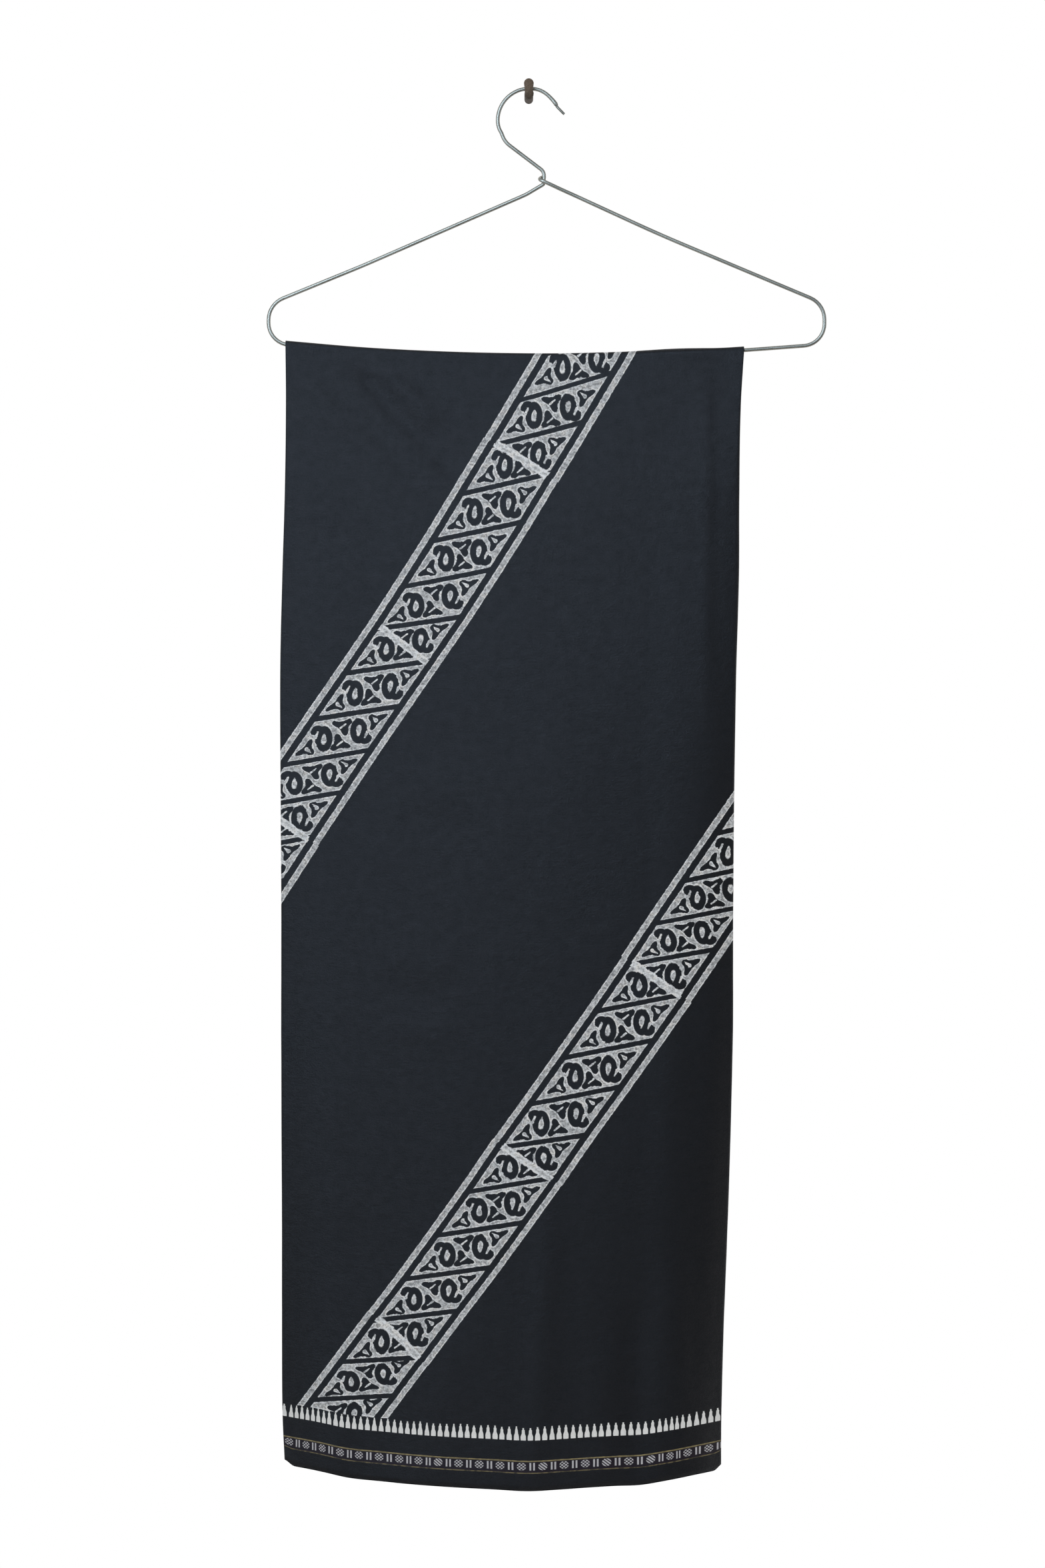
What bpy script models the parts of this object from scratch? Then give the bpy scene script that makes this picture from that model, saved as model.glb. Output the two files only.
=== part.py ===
"""A folded veshti hung over the bar of a wire hanger, on an upturned wall peg.

Metres, +Z up. The wall is the plane y = 0 and the front of the cloth faces -Y. The origin is the
centre of the peg's flat rear face. Sizes below are in millimetres, read through MM.
"""

import math

import bmesh
import bpy
from mathutils import Vector

MM = 0.001
PARTS = "veshti_on_hanger"

# Gaps left between pieces that touch on the real object: hard pieces, and layers of cloth
GAP = 0.3 * MM
LAYER_GAP = 0.4 * MM

# Hanger wire, in the plane y = HANGER_Y
HANGER_Y = -26.0 * MM
WIRE_RADIUS = 1.4 * MM
WIRE_SIDES_SETTING = 2
HOOK_RADIUS = 23.3 * MM
HOOK_CENTRE_X = 0.7 * MM
HOOK_FROM_DEG = 33
HOOK_TO_DEG = 233
HOOK_STEP_DEG = 14
TIP_AT = (25.4 * MM, -14.0 * MM)
TIP_THINNING = 0.62
BEND_STEP_DEG = 17
BAR_STEP_DEG = 0.8

# Corners of the bent wire from the hook down and round: x, z and bend radius, millimetres
NECK_X = 10.9
WIRE_CORNERS = (
    (10.4, -54.7, 5.0),
    (NECK_X, -64.4, 2.0),
    (-189.2, -152.1, 17.0),
    (-189.2, -179.7, 16.0),
    (0.7, -196.2, 2100.0),
    (214.9, -180.2, 16.0),
    (214.9, -151.6, 17.0),
)
BAR_ROW = 4

# The wire's end is wrapped once round the neck and cut off short
WRAP_FROM_Z = -62.9 * MM
WRAP_RISE = 3.3 * MM
WRAP_STEPS = 10
WRAP_GAP = 0.35 * MM
WRAP_RADIUS = 2 * WIRE_RADIUS + WRAP_GAP
WRAP_STUB = 4.6 * MM

# Where the right shoulder steps forward to pass the neck: x in millimetres, share of the step
WRAP_LEAD = ((34.0, 0.0), (22.0, 0.3), (16.0, 0.86))

# Peg: a round shank out of the wall that turns up in front of the wire
SHANK_RADIUS = 3.2 * MM
TIP_RADIUS = 3.65 * MM
PEG_BEND = 4.6 * MM
PEG_TOP_Z = 12.2 * MM
PEG_SIDES_SETTING = 6
PEG_BEND_STEPS = 7
PEG_DOME_STEPS = 5
PEG_DOME_TO_DEG = 84

# Cloth, hung over the bar
WALL = 1.0 * MM
FRONT_DROP = 816.0 * MM
BACK_DROP = 365.0 * MM
HEM_STEP_INNER = 2.5 * MM
HEM_STEP_REAR = 1.2 * MM
STACK_MIDDLE = 5.6 * MM
STACK_ON_BAR = 3.8 * MM
BAR_CLEARANCE = WIRE_RADIUS + GAP
FALL_CLEARANCE = 0.35 * MM
CLOSING_LENGTH = 40.0 * MM
PRESS_LENGTH = 50.0 * MM
PUFF_FROM = 10.0 * MM
PUFF_LENGTH = 25.0 * MM
LEFT_FRONT_TAIL = 7.0 * MM
LEFT_REAR_TAIL = 9.0 * MM
CUT_END_HIDDEN = 1.0 * MM
CUT_END_REAR = 2.0 * MM
NOTCH_GAP = 0.7 * MM
ARC_STEPS = 4

# Radii of the folded edges (noses): in the free falls, and pressed on the bar
LEFT_FRONT_NOSE = (1.4 * MM, 1.2 * MM)
LEFT_REAR_NOSE = (2.2 * MM, 1.8 * MM)
RIGHT_NOSE = (2.4 * MM, 1.8 * MM)

# Side outline: share of the front drop, left edge x, right edge x, millimetres
EDGES = (
    (0.00, -177.0, 156.7),
    (0.12, -178.6, 154.0),
    (0.30, -182.2, 151.4),
    (0.50, -181.7, 150.5),
    (0.76, -182.2, 146.5),
    (1.00, -181.0, 141.7),
)

# Bend of the front hem: share across from the left fold, distance behind the crest, millimetres
HEM_SECTION = (
    (0.000, 33.0),
    (0.087, 21.0),
    (0.148, 15.5),
    (0.270, 10.5),
    (0.393, 6.0),
    (0.562, 0.0),
    (0.722, 6.0),
    (0.800, 8.0),
    (0.870, 11.0),
    (0.942, 20.5),
    (1.000, 35.0),
)
CREST_FORWARD = 13.0 * MM
BEND_POWER = 0.7
BEND_START = 0.1
SECTION_SAMPLES = 90

# Rows down each fall, steps over the bar, columns across
FRONT_ROWS = 15
BACK_ROWS = 9
ROW_POWER = 1.6
BAR_STEPS = 6
COLUMNS = 17
EDGE_COLUMNS = (5.0 * MM, 9.4 * MM, 16.0 * MM)

SHARP_DEG = 40

CLOTH_BLACK = (0.024, 0.027, 0.034, 1.0)
CLOTH_HIDDEN = (0.020, 0.022, 0.028, 1.0)
STEEL = (0.55, 0.56, 0.55, 1.0)
PEG_BROWN = (0.13, 0.10, 0.07, 1.0)


def lerp(a, b, t):
    """The value a share t of the way from a to b."""
    return a + (b - a) * t


def ease(t):
    """A share held between 0 and 1 that starts and ends gently."""
    t = min(max(t, 0.0), 1.0)
    return t * t * (3 - 2 * t)


def read_smooth(rows, at, column):
    """The value of a table's column at a place, on a smooth curve through its rows."""
    keys = [row[0] for row in rows]
    values = [row[column] for row in rows]
    last = len(rows) - 1
    slopes = []
    for i in range(last + 1):
        before, after = max(i - 1, 0), min(i + 1, last)
        slopes.append((values[after] - values[before]) / (keys[after] - keys[before]))
    i = max(k for k in range(last) if k == 0 or keys[k] <= at)
    span = keys[i + 1] - keys[i]
    t = (at - keys[i]) / span
    return (
        (2 * t**3 - 3 * t**2 + 1) * values[i]
        + (t**3 - 2 * t**2 + t) * span * slopes[i]
        + (3 * t**2 - 2 * t**3) * values[i + 1]
        + (t**3 - t**2) * span * slopes[i + 1]
    )


def bent_corner(before, corner, after, radius, step_deg):
    """Points of the arc that rounds one corner of a route in the x, z plane."""
    come = (corner - before).normalized()
    leave = (after - corner).normalized()
    turn = come.angle(leave)
    reach = radius * math.tan(turn / 2)
    start = corner - come * reach
    side = leave - come * leave.dot(come)
    side.normalize()
    centre = start + side * radius
    steps = max(2, round(math.degrees(turn) / step_deg))
    arc = []
    for k in range(steps + 1):
        angle = turn * k / steps
        arc.append(centre - side * radius * math.cos(angle) + come * radius * math.sin(angle))
    return arc


def hook_points():
    """The hook, from its tip over the peg and round to the straight stretch above the neck."""
    centre_z = SHANK_RADIUS + GAP + WIRE_RADIUS - HOOK_RADIUS
    points = [Vector(TIP_AT)]
    steps = round((HOOK_TO_DEG - HOOK_FROM_DEG) / HOOK_STEP_DEG)
    for k in range(steps + 1):
        angle = math.radians(lerp(HOOK_FROM_DEG, HOOK_TO_DEG, k / steps))
        x = HOOK_CENTRE_X + HOOK_RADIUS * math.cos(angle)
        points.append(Vector((x, centre_z + HOOK_RADIUS * math.sin(angle))))
    return points


def frame_points(start):
    """The neck, the left shoulder, the bar and the right shoulder, with each corner bent."""
    wrap_lead = Vector((WRAP_LEAD[0][0] * MM, WRAP_FROM_Z - shoulder_fall(WRAP_LEAD[0][0])))
    corners = [Vector((x * MM, z * MM)) for x, z, _ in WIRE_CORNERS]
    route = [start] + corners + [wrap_lead]
    points, bar = [], []
    for i, (_, _, radius) in enumerate(WIRE_CORNERS):
        step = BAR_STEP_DEG if i == BAR_ROW else BEND_STEP_DEG
        arc = bent_corner(route[i], route[i + 1], route[i + 2], radius * MM, step)
        points += arc
        if abs(i - BAR_ROW) <= 1:
            bar += arc
    return points, bar


def shoulder_fall(x_mm):
    """How far the right shoulder has fallen below the wrap at a place along it."""
    _, neck_z, _ = WIRE_CORNERS[1]
    corner_x, corner_z, _ = WIRE_CORNERS[-1]
    return (x_mm - NECK_X) * (neck_z - corner_z) / (corner_x - NECK_X) * MM


def wrap_points():
    """The last stretch of the right shoulder, its turn round the neck and the short cut end."""
    points = []
    for x, share in WRAP_LEAD:
        z = WRAP_FROM_Z - shoulder_fall(x)
        points.append(Vector((x * MM, HANGER_Y - WRAP_RADIUS * share, z)))
    for k in range(WRAP_STEPS + 1):
        turn = math.tau * k / WRAP_STEPS
        x = NECK_X * MM - WRAP_RADIUS * math.sin(turn)
        y = HANGER_Y - WRAP_RADIUS * math.cos(turn)
        points.append(Vector((x, y, WRAP_FROM_Z + WRAP_RISE * k / WRAP_STEPS)))
    end = points[-1]
    points.append(end + Vector((-WRAP_STUB, 0, WRAP_STUB * WRAP_RISE / (math.tau * WRAP_RADIUS))))
    return points


HOOK_ROUTE = hook_points()
FRAME_ROUTE, BAR_ROUTE = frame_points(HOOK_ROUTE[-1])


def bar_height(x):
    """Height of the wire's centre where it carries the cloth."""
    run = [BAR_ROUTE[0]]
    for point in BAR_ROUTE[1:]:
        if point.x > run[-1].x + 1e-6:
            run.append(point)
    for a, b in zip(run, run[1:]):
        if a.x <= x <= b.x:
            return lerp(a.y, b.y, (x - a.x) / (b.x - a.x))
    return run[0].y if x < run[0].x else run[-1].y


def bend_growth(share):
    """How much of the hem's bend the cloth has at a share of the front drop."""
    return max(share, 0.0) ** BEND_POWER * ease(share / BEND_START)


class Section:
    """The line that the back of the cloth follows at one place along its drape."""

    def __init__(self, side, drop=0.0, angle=0.0):
        self.press = 1 - ease(drop / PRESS_LENGTH)
        share = drop / FRONT_DROP
        left = read_smooth(EDGES, share, 1) * MM
        right = read_smooth(EDGES, share, 2) * MM
        bar_left, bar_right = EDGES[0][1] * MM, EDGES[0][2] * MM
        closing = (BAR_CLEARANCE - FALL_CLEARANCE) * ease(drop / CLOSING_LENGTH)
        growth = bend_growth(share)
        self.outward = Vector((0, -math.cos(angle), math.sin(angle)))
        if side:
            self.outward = Vector((0, -side, 0))
        self.side = side
        self.points, self.along = [], [0.0]
        for k in range(SECTION_SAMPLES + 1):
            s = k / SECTION_SAMPLES
            height = bar_height(lerp(bar_left, bar_right, s)) - drop
            bend = growth * (read_smooth(HEM_SECTION, s, 1) * MM - CREST_FORWARD)
            offset = self.outward * (BAR_CLEARANCE - closing)
            place = Vector((lerp(left, right, s), HANGER_Y + bend, height)) + offset
            if self.points:
                self.along.append(self.along[-1] + (place - self.points[-1]).xy.length)
            self.points.append(place)
        self.width = self.along[-1]

    def nose(self, radii):
        """Radius here of a folded edge, from its radius in the falls to that on the bar."""
        return lerp(radii[0], radii[1], self.press)

    def stack(self, a):
        """Thickness of all six layers at a distance across from the left fold."""
        middle = lerp(STACK_MIDDLE, STACK_ON_BAR, self.press)
        at_left = 2 * self.nose(LEFT_FRONT_NOSE) + LAYER_GAP + 2 * self.nose(LEFT_REAR_NOSE)
        at_right = 2 * self.nose(RIGHT_NOSE) + 2 * (LAYER_GAP + WALL)
        left_puff = 1 - ease((a - PUFF_FROM) / PUFF_LENGTH)
        right_puff = 1 - ease((self.width - a - PUFF_FROM) / PUFF_LENGTH)
        return middle + (at_left - middle) * left_puff + (at_right - middle) * right_puff

    def place(self, a, out):
        """The point at a distance across and a distance out from the back of the cloth."""
        a = min(max(a, 0.0), self.width)
        i = max(k for k in range(SECTION_SAMPLES) if k == 0 or self.along[k] <= a)
        t = (a - self.along[i]) / (self.along[i + 1] - self.along[i])
        point = self.points[i].lerp(self.points[i + 1], t)
        before = self.points[max(i - 1, 0)]
        after = self.points[min(i + 2, SECTION_SAMPLES)]
        if not self.side:
            return point + self.outward * out
        run = (after - before).xy.normalized()
        return point + Vector((run.y, -run.x, 0)) * self.side * out


def fall_rows(drop, count, hem_step):
    """Distances down a fall, closer together near the bar, the last one at this layer's hem."""
    rows = [drop * (k / count) ** ROW_POWER for k in range(1, count + 1)]
    rows[-1] -= hem_step
    return rows


def sections(hem_step):
    """The sections from the back hem up, over the bar and down to the front hem."""
    rows = [Section(-1, drop) for drop in reversed(fall_rows(BACK_DROP, BACK_ROWS, hem_step))]
    rows += [Section(0, angle=math.pi * k / BAR_STEPS) for k in range(BAR_STEPS, -1, -1)]
    return rows + [Section(1, drop) for drop in fall_rows(FRONT_DROP, FRONT_ROWS, hem_step)]


def across(width):
    """Places across the cloth that every layer shares, closer together towards both folds."""
    start, end = EDGE_COLUMNS[-1], width - EDGE_COLUMNS[-1]
    places = list(EDGE_COLUMNS[:-1])
    for k in range(COLUMNS + 1):
        even = k / COLUMNS
        eased = 0.5 - 0.5 * math.cos(math.pi * even)
        places.append(lerp(start, end, 0.5 * (even + eased)))
    return places + [width - edge for edge in reversed(EDGE_COLUMNS[:-1])]


def arc(centre_a, centre_out, radius, from_deg, to_deg):
    """Points (across, out) of a fold's round edge."""
    points = []
    for k in range(ARC_STEPS + 1):
        angle = math.radians(lerp(from_deg, to_deg, k / ARC_STEPS))
        points.append((centre_a + radius * math.cos(angle), centre_out + radius * math.sin(angle)))
    return points


def outer_face(row):
    """The face of the shown stretch: folded edge, whole panel, folded edge."""
    left, right, width = row.nose(LEFT_FRONT_NOSE), row.nose(RIGHT_NOSE), row.width
    top_left, top_right = row.stack(0.0), row.stack(width)
    line = [(LEFT_FRONT_TAIL, top_left - 2 * left)]
    line += arc(left, top_left - left, left, 270, 90)
    line += [(a, row.stack(a)) for a in across(width)]
    line += arc(width - right, top_right - right, right, 90, -90)
    return line


def rear_face(row):
    """The face of the last layer: its folded edge, then the panel to its free cut end."""
    nose = row.nose(LEFT_REAR_NOSE)
    line = [(LEFT_REAR_TAIL, 2 * nose)]
    line += arc(nose, nose, nose, 90, 270)
    line += [(a, 0.0) for a in across(row.width)]
    return line + [(row.width - CUT_END_REAR, 0.0)]


def hidden_outline(row):
    """The outline of the four hidden layers, with a lobe in each fold and one free cut end."""
    skin = WALL + LAYER_GAP
    left, right, width = row.nose(LEFT_REAR_NOSE), row.nose(RIGHT_NOSE), row.width
    top_right = row.stack(width)
    cut_a, notch_a = width - CUT_END_HIDDEN, width - right - NOTCH_GAP
    columns = across(width)
    step_a = columns[1]
    line = [(left, skin)] + [(a, skin) for a in columns] + [(cut_a, skin)]
    line += [(cut_a, skin + WALL), (notch_a, skin + WALL)]
    line += [(notch_a, top_right - 2 * right + skin)]
    line += arc(width - right, top_right - right, right - skin, -90, 90)
    line += [(a, row.stack(a) - skin) for a in reversed(columns[1:])]
    line += [(step_a, 2 * left - skin)]
    line += arc(left, left, left - skin, 90, 270)[:-1]
    return line


def material(name, colour, roughness, metallic=0.0):
    made = bpy.data.materials.new(name)
    made.use_nodes = True
    shader = made.node_tree.nodes["Principled BSDF"]
    shader.inputs["Base Color"].default_value = colour
    shader.inputs["Roughness"].default_value = roughness
    shader.inputs["Metallic"].default_value = metallic
    return made


def add_object(name, data, finish):
    data.materials.append(finish)
    made = bpy.data.objects.new(name, data)
    bpy.data.collections[PARTS].objects.link(made)
    return made


def mesh_of(name, lines, closed, turned):
    """A mesh through rows of points: an open sheet, or a closed loft with both ends filled."""
    work = bmesh.new()
    grid = [[work.verts.new(point) for point in line] for line in lines]
    for row, following in zip(grid, grid[1:]):
        count = len(row)
        for c in range(count if closed else count - 1):
            n = (c + 1) % count
            corners = (row[c], following[c], following[n], row[n])
            work.faces.new(reversed(corners) if turned else corners)
    if closed:
        work.faces.new(grid[0])
        work.faces.new(reversed(grid[-1]))
        bmesh.ops.recalc_face_normals(work, faces=work.faces)
    mesh = bpy.data.meshes.new(name)
    work.to_mesh(mesh)
    work.free()
    mesh.shade_smooth()
    mesh.set_sharp_from_angle(angle=math.radians(SHARP_DEG))
    return mesh


def build_cloth_wall(name, face, hem_step, turned, finish):
    """One layer of cloth: its face as an open sheet, with the wall's thickness inwards."""
    lines = [[row.place(a, out) for a, out in face(row)] for row in sections(hem_step)]
    sheet = add_object(name, mesh_of(name, lines, False, turned), finish)
    wall = sheet.modifiers.new("cloth_wall", "SOLIDIFY")
    wall.thickness = WALL
    wall.offset = -1.0
    wall.use_even_offset = True
    return sheet


def build_hidden_layers(finish):
    rows = sections(HEM_STEP_INNER)
    lines = [[row.place(a, out) for a, out in hidden_outline(row)] for row in rows]
    return add_object("inner_layers", mesh_of("inner_layers", lines, True, False), finish)


def build_tube(name, points, radii, sides_setting, finish):
    """A round bar along points, with a radius at each point and filled ends."""
    curve = bpy.data.curves.new(name, "CURVE")
    curve.dimensions = "3D"
    curve.bevel_depth = 1.0
    curve.bevel_resolution = sides_setting
    curve.use_fill_caps = True
    spline = curve.splines.new("POLY")
    spline.points.add(len(points) - 1)
    for point, place, radius in zip(spline.points, points, radii):
        point.co = (*place, 1.0)
        point.radius = radius
    return add_object(name, curve, finish)


def build_hanger(finish):
    """The hanger: one length of wire from the hook's thin tip to the wrap at the neck."""
    flat = HOOK_ROUTE + FRAME_ROUTE
    points = [Vector((p.x, HANGER_Y, p.y)) for p in flat] + wrap_points()
    radii = [WIRE_RADIUS] * len(points)
    radii[0] = WIRE_RADIUS * TIP_THINNING
    return build_tube("hanger_wire", points, radii, WIRE_SIDES_SETTING, finish)


def build_peg(finish):
    """The peg: straight out of the wall, bent up in front of the wire, with a domed end."""
    front_y = HANGER_Y - WIRE_RADIUS - GAP - TIP_RADIUS
    points, radii = [Vector((0, 0, 0))], [SHANK_RADIUS]
    for k in range(PEG_BEND_STEPS + 1):
        angle = math.radians(90) * k / PEG_BEND_STEPS
        y = front_y + PEG_BEND * (1 - math.sin(angle))
        points.append(Vector((0, y, PEG_BEND * (1 - math.cos(angle)))))
        radii.append(SHANK_RADIUS)
    dome_z = PEG_TOP_Z - TIP_RADIUS
    for k in range(PEG_DOME_STEPS + 1):
        angle = math.radians(PEG_DOME_TO_DEG) * k / PEG_DOME_STEPS
        points.append(Vector((0, front_y, dome_z + TIP_RADIUS * math.sin(angle))))
        radii.append(TIP_RADIUS * math.cos(angle))
    return build_tube("wall_peg", points, radii, PEG_SIDES_SETTING, finish)


def main():
    for old in list(bpy.data.objects):
        bpy.data.objects.remove(old, do_unlink=True)
    bpy.context.scene.collection.children.link(bpy.data.collections.new(PARTS))
    cotton = material("black_cotton", CLOTH_BLACK, 0.85)
    hidden = material("black_cotton_inside", CLOTH_HIDDEN, 0.9)
    steel = material("bare_steel_wire", STEEL, 0.35, 1.0)
    brown = material("brown_iron", PEG_BROWN, 0.75, 0.3)
    build_cloth_wall("outer_layer", outer_face, 0.0, False, cotton)
    build_hidden_layers(hidden)
    build_cloth_wall("rear_layer", rear_face, HEM_STEP_REAR, True, cotton)
    build_hanger(steel)
    build_peg(brown)


main()
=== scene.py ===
"""Looks for a folded black veshti, hung over the bar of a wire hanger on an upturned wall peg.

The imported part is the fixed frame: metres, +Z up, the wall is y = 0 and the cloth's front faces -Y.
Each sub-assembly below is a class that builds its meshes and dresses them, and each finish is a
class that makes one material. Sizes are in metres, most of them written as millimetres times MM. The
print, the creases and the tables are in plain millimetres.
"""

from __future__ import annotations

import logging
import math
from collections.abc import Sequence
from dataclasses import dataclass
from enum import Enum

import bmesh
import bpy
import numpy as np
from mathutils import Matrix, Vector, noise

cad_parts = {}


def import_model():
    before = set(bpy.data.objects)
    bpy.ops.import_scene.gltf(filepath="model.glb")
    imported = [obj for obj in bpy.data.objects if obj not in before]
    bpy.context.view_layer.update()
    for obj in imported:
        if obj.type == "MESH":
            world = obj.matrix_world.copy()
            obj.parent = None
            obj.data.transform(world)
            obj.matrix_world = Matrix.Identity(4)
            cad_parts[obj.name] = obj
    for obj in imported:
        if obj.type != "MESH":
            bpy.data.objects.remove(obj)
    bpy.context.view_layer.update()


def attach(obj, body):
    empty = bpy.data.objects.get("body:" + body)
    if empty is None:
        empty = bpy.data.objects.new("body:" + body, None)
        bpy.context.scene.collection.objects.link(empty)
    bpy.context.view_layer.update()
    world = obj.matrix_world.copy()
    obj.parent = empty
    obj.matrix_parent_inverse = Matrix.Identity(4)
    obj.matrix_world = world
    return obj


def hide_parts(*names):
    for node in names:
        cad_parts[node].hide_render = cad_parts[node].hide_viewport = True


# Types that come back often: a table is rows of two numbers, a run is places across and out
Pair = tuple[float, float]
Triple = tuple[float, float, float]
Step = tuple[float, float, float, float]
Colour = tuple[float, float, float]
Counts = tuple[int, int, int]
Table = tuple[Pair, ...]
Run = tuple[np.ndarray, np.ndarray]
Values = np.ndarray | float
Inputs = dict[str | int, object]

LOG = logging.getLogger("veshti")
MM = 0.001
BODY = "root"

# The hanger's plane, the wire and the peg in it, and the camera that looks straight at them
HANGER_Y = -26.0 * MM
WIRE_RADIUS = 1.4 * MM
PEG_RADIUS = 3.2 * MM
PEG_GAP = 0.3 * MM
VIEW_HEIGHT = 1.140
VIEW_DISTANCE = 4.0
CAMERA_AT = (-4.6 * MM, HANGER_Y - VIEW_DISTANCE, -500.7 * MM)

# The whole cut of cloth, and how far apart its printed bands are
CLOTH_WIDTH = 1.2
BAND_PERIOD = 349.0 * MM
CELL_PITCH = 33.6 * MM
SPIRE_PITCH = 4.98 * MM

# Steps that a bend of the wire has at least
FEWEST_STEPS = 2

# Sockets of a Mix node that mixes colours, which share their names with others
MIX_SHARE, MIX_BELOW, MIX_ABOVE, MIX_COLOUR = 0, 6, 7, 2


def lerp(a: Values, b: Values, t: Values) -> Values:
    """The value a share t of the way from a to b."""
    return a + (b - a) * t


def ease(t: Values) -> Values:
    """A share held between 0 and 1 that starts and ends gently."""
    t = np.clip(t, 0.0, 1.0)
    return t * t * (3 - 2 * t)


def smooth_through(keys: Sequence[float], values: Sequence[float], at: np.ndarray) -> np.ndarray:
    """Values on a smooth curve through a table's rows.

    Args:
        keys: Rising places of the rows.
        values: The value at each row.
        at: The places to read.

    Returns:
        The values at those places.
    """
    k, v = np.array(keys), np.array(values)
    before, after = np.maximum(np.arange(len(k)) - 1, 0), np.minimum(np.arange(len(k)) + 1, len(k) - 1)
    slopes = (v[after] - v[before]) / (k[after] - k[before])
    i = np.clip(np.searchsorted(k, at, side="right") - 1, 0, len(k) - 2)
    span = k[i + 1] - k[i]
    t = (at - k[i]) / span
    return (
        (2 * t**3 - 3 * t**2 + 1) * v[i]
        + (t**3 - 2 * t**2 + t) * span * slopes[i]
        + (3 * t**2 - 2 * t**3) * v[i + 1]
        + (t**3 - t**2) * span * slopes[i + 1]
    )


# Shader building


@dataclass(frozen=True)
class Number:
    """A number that a shader works out, with ordinary arithmetic."""

    graph: Graph
    socket: bpy.types.NodeSocket

    def __add__(self, other: Number | float) -> Number:
        """Sum."""
        return self.graph.math("ADD", self, other)

    def __sub__(self, other: Number | float) -> Number:
        """Difference."""
        return self.graph.math("SUBTRACT", self, other)

    def __rsub__(self, other: float) -> Number:
        """Difference, constant first."""
        return self.graph.math("SUBTRACT", other, self)

    def __mul__(self, other: Number | float) -> Number:
        """Product."""
        return self.graph.math("MULTIPLY", self, other)

    def __truediv__(self, other: Number | float) -> Number:
        """Quotient."""
        return self.graph.math("DIVIDE", self, other)

    def __neg__(self) -> Number:
        """The same size, other sign."""
        return self.graph.math("MULTIPLY", self, -1.0)

    def size(self) -> Number:
        """The number without its sign."""
        return self.graph.math("ABSOLUTE", self)

    def floor(self) -> Number:
        """The whole number below."""
        return self.graph.math("FLOOR", self)

    def rest(self) -> Number:
        """What is left above the whole number below."""
        return self.graph.math("FRACT", self)

    def held(self) -> Number:
        """The number held between 0 and 1."""
        return self.graph.number("Clamp", {"Value": self})

    def sine(self) -> Number:
        """Sine of the number in radians."""
        return self.graph.math("SINE", self)

    def cosine(self) -> Number:
        """Cosine of the number in radians."""
        return self.graph.math("COSINE", self)

    def power(self, exponent: float) -> Number:
        """The number raised to a power."""
        return self.graph.math("POWER", self, exponent)

    def over(self, limit: Number | float) -> Number:
        """1 where the number is above a limit, else 0."""
        return self.graph.math("GREATER_THAN", self, limit)

    def under(self, limit: Number | float) -> Number:
        """1 where the number is below a limit, else 0."""
        return self.graph.math("LESS_THAN", self, limit)

    def least(self, other: Number | float) -> Number:
        """The smaller of two numbers."""
        return self.graph.math("MINIMUM", self, other)

    def most(self, other: Number | float) -> Number:
        """The larger of two numbers."""
        return self.graph.math("MAXIMUM", self, other)

    def fade(self, start: float, end: float, low: float = 0.0, high: float = 1.0) -> Number:
        """A gentle change from low to high as the number goes from start to end."""
        return self.graph.fade(self, start, end, low, high)

    def line(self, gain: float, base: float) -> Number:
        """The number times a gain, plus a base."""
        return self * gain + base


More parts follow.
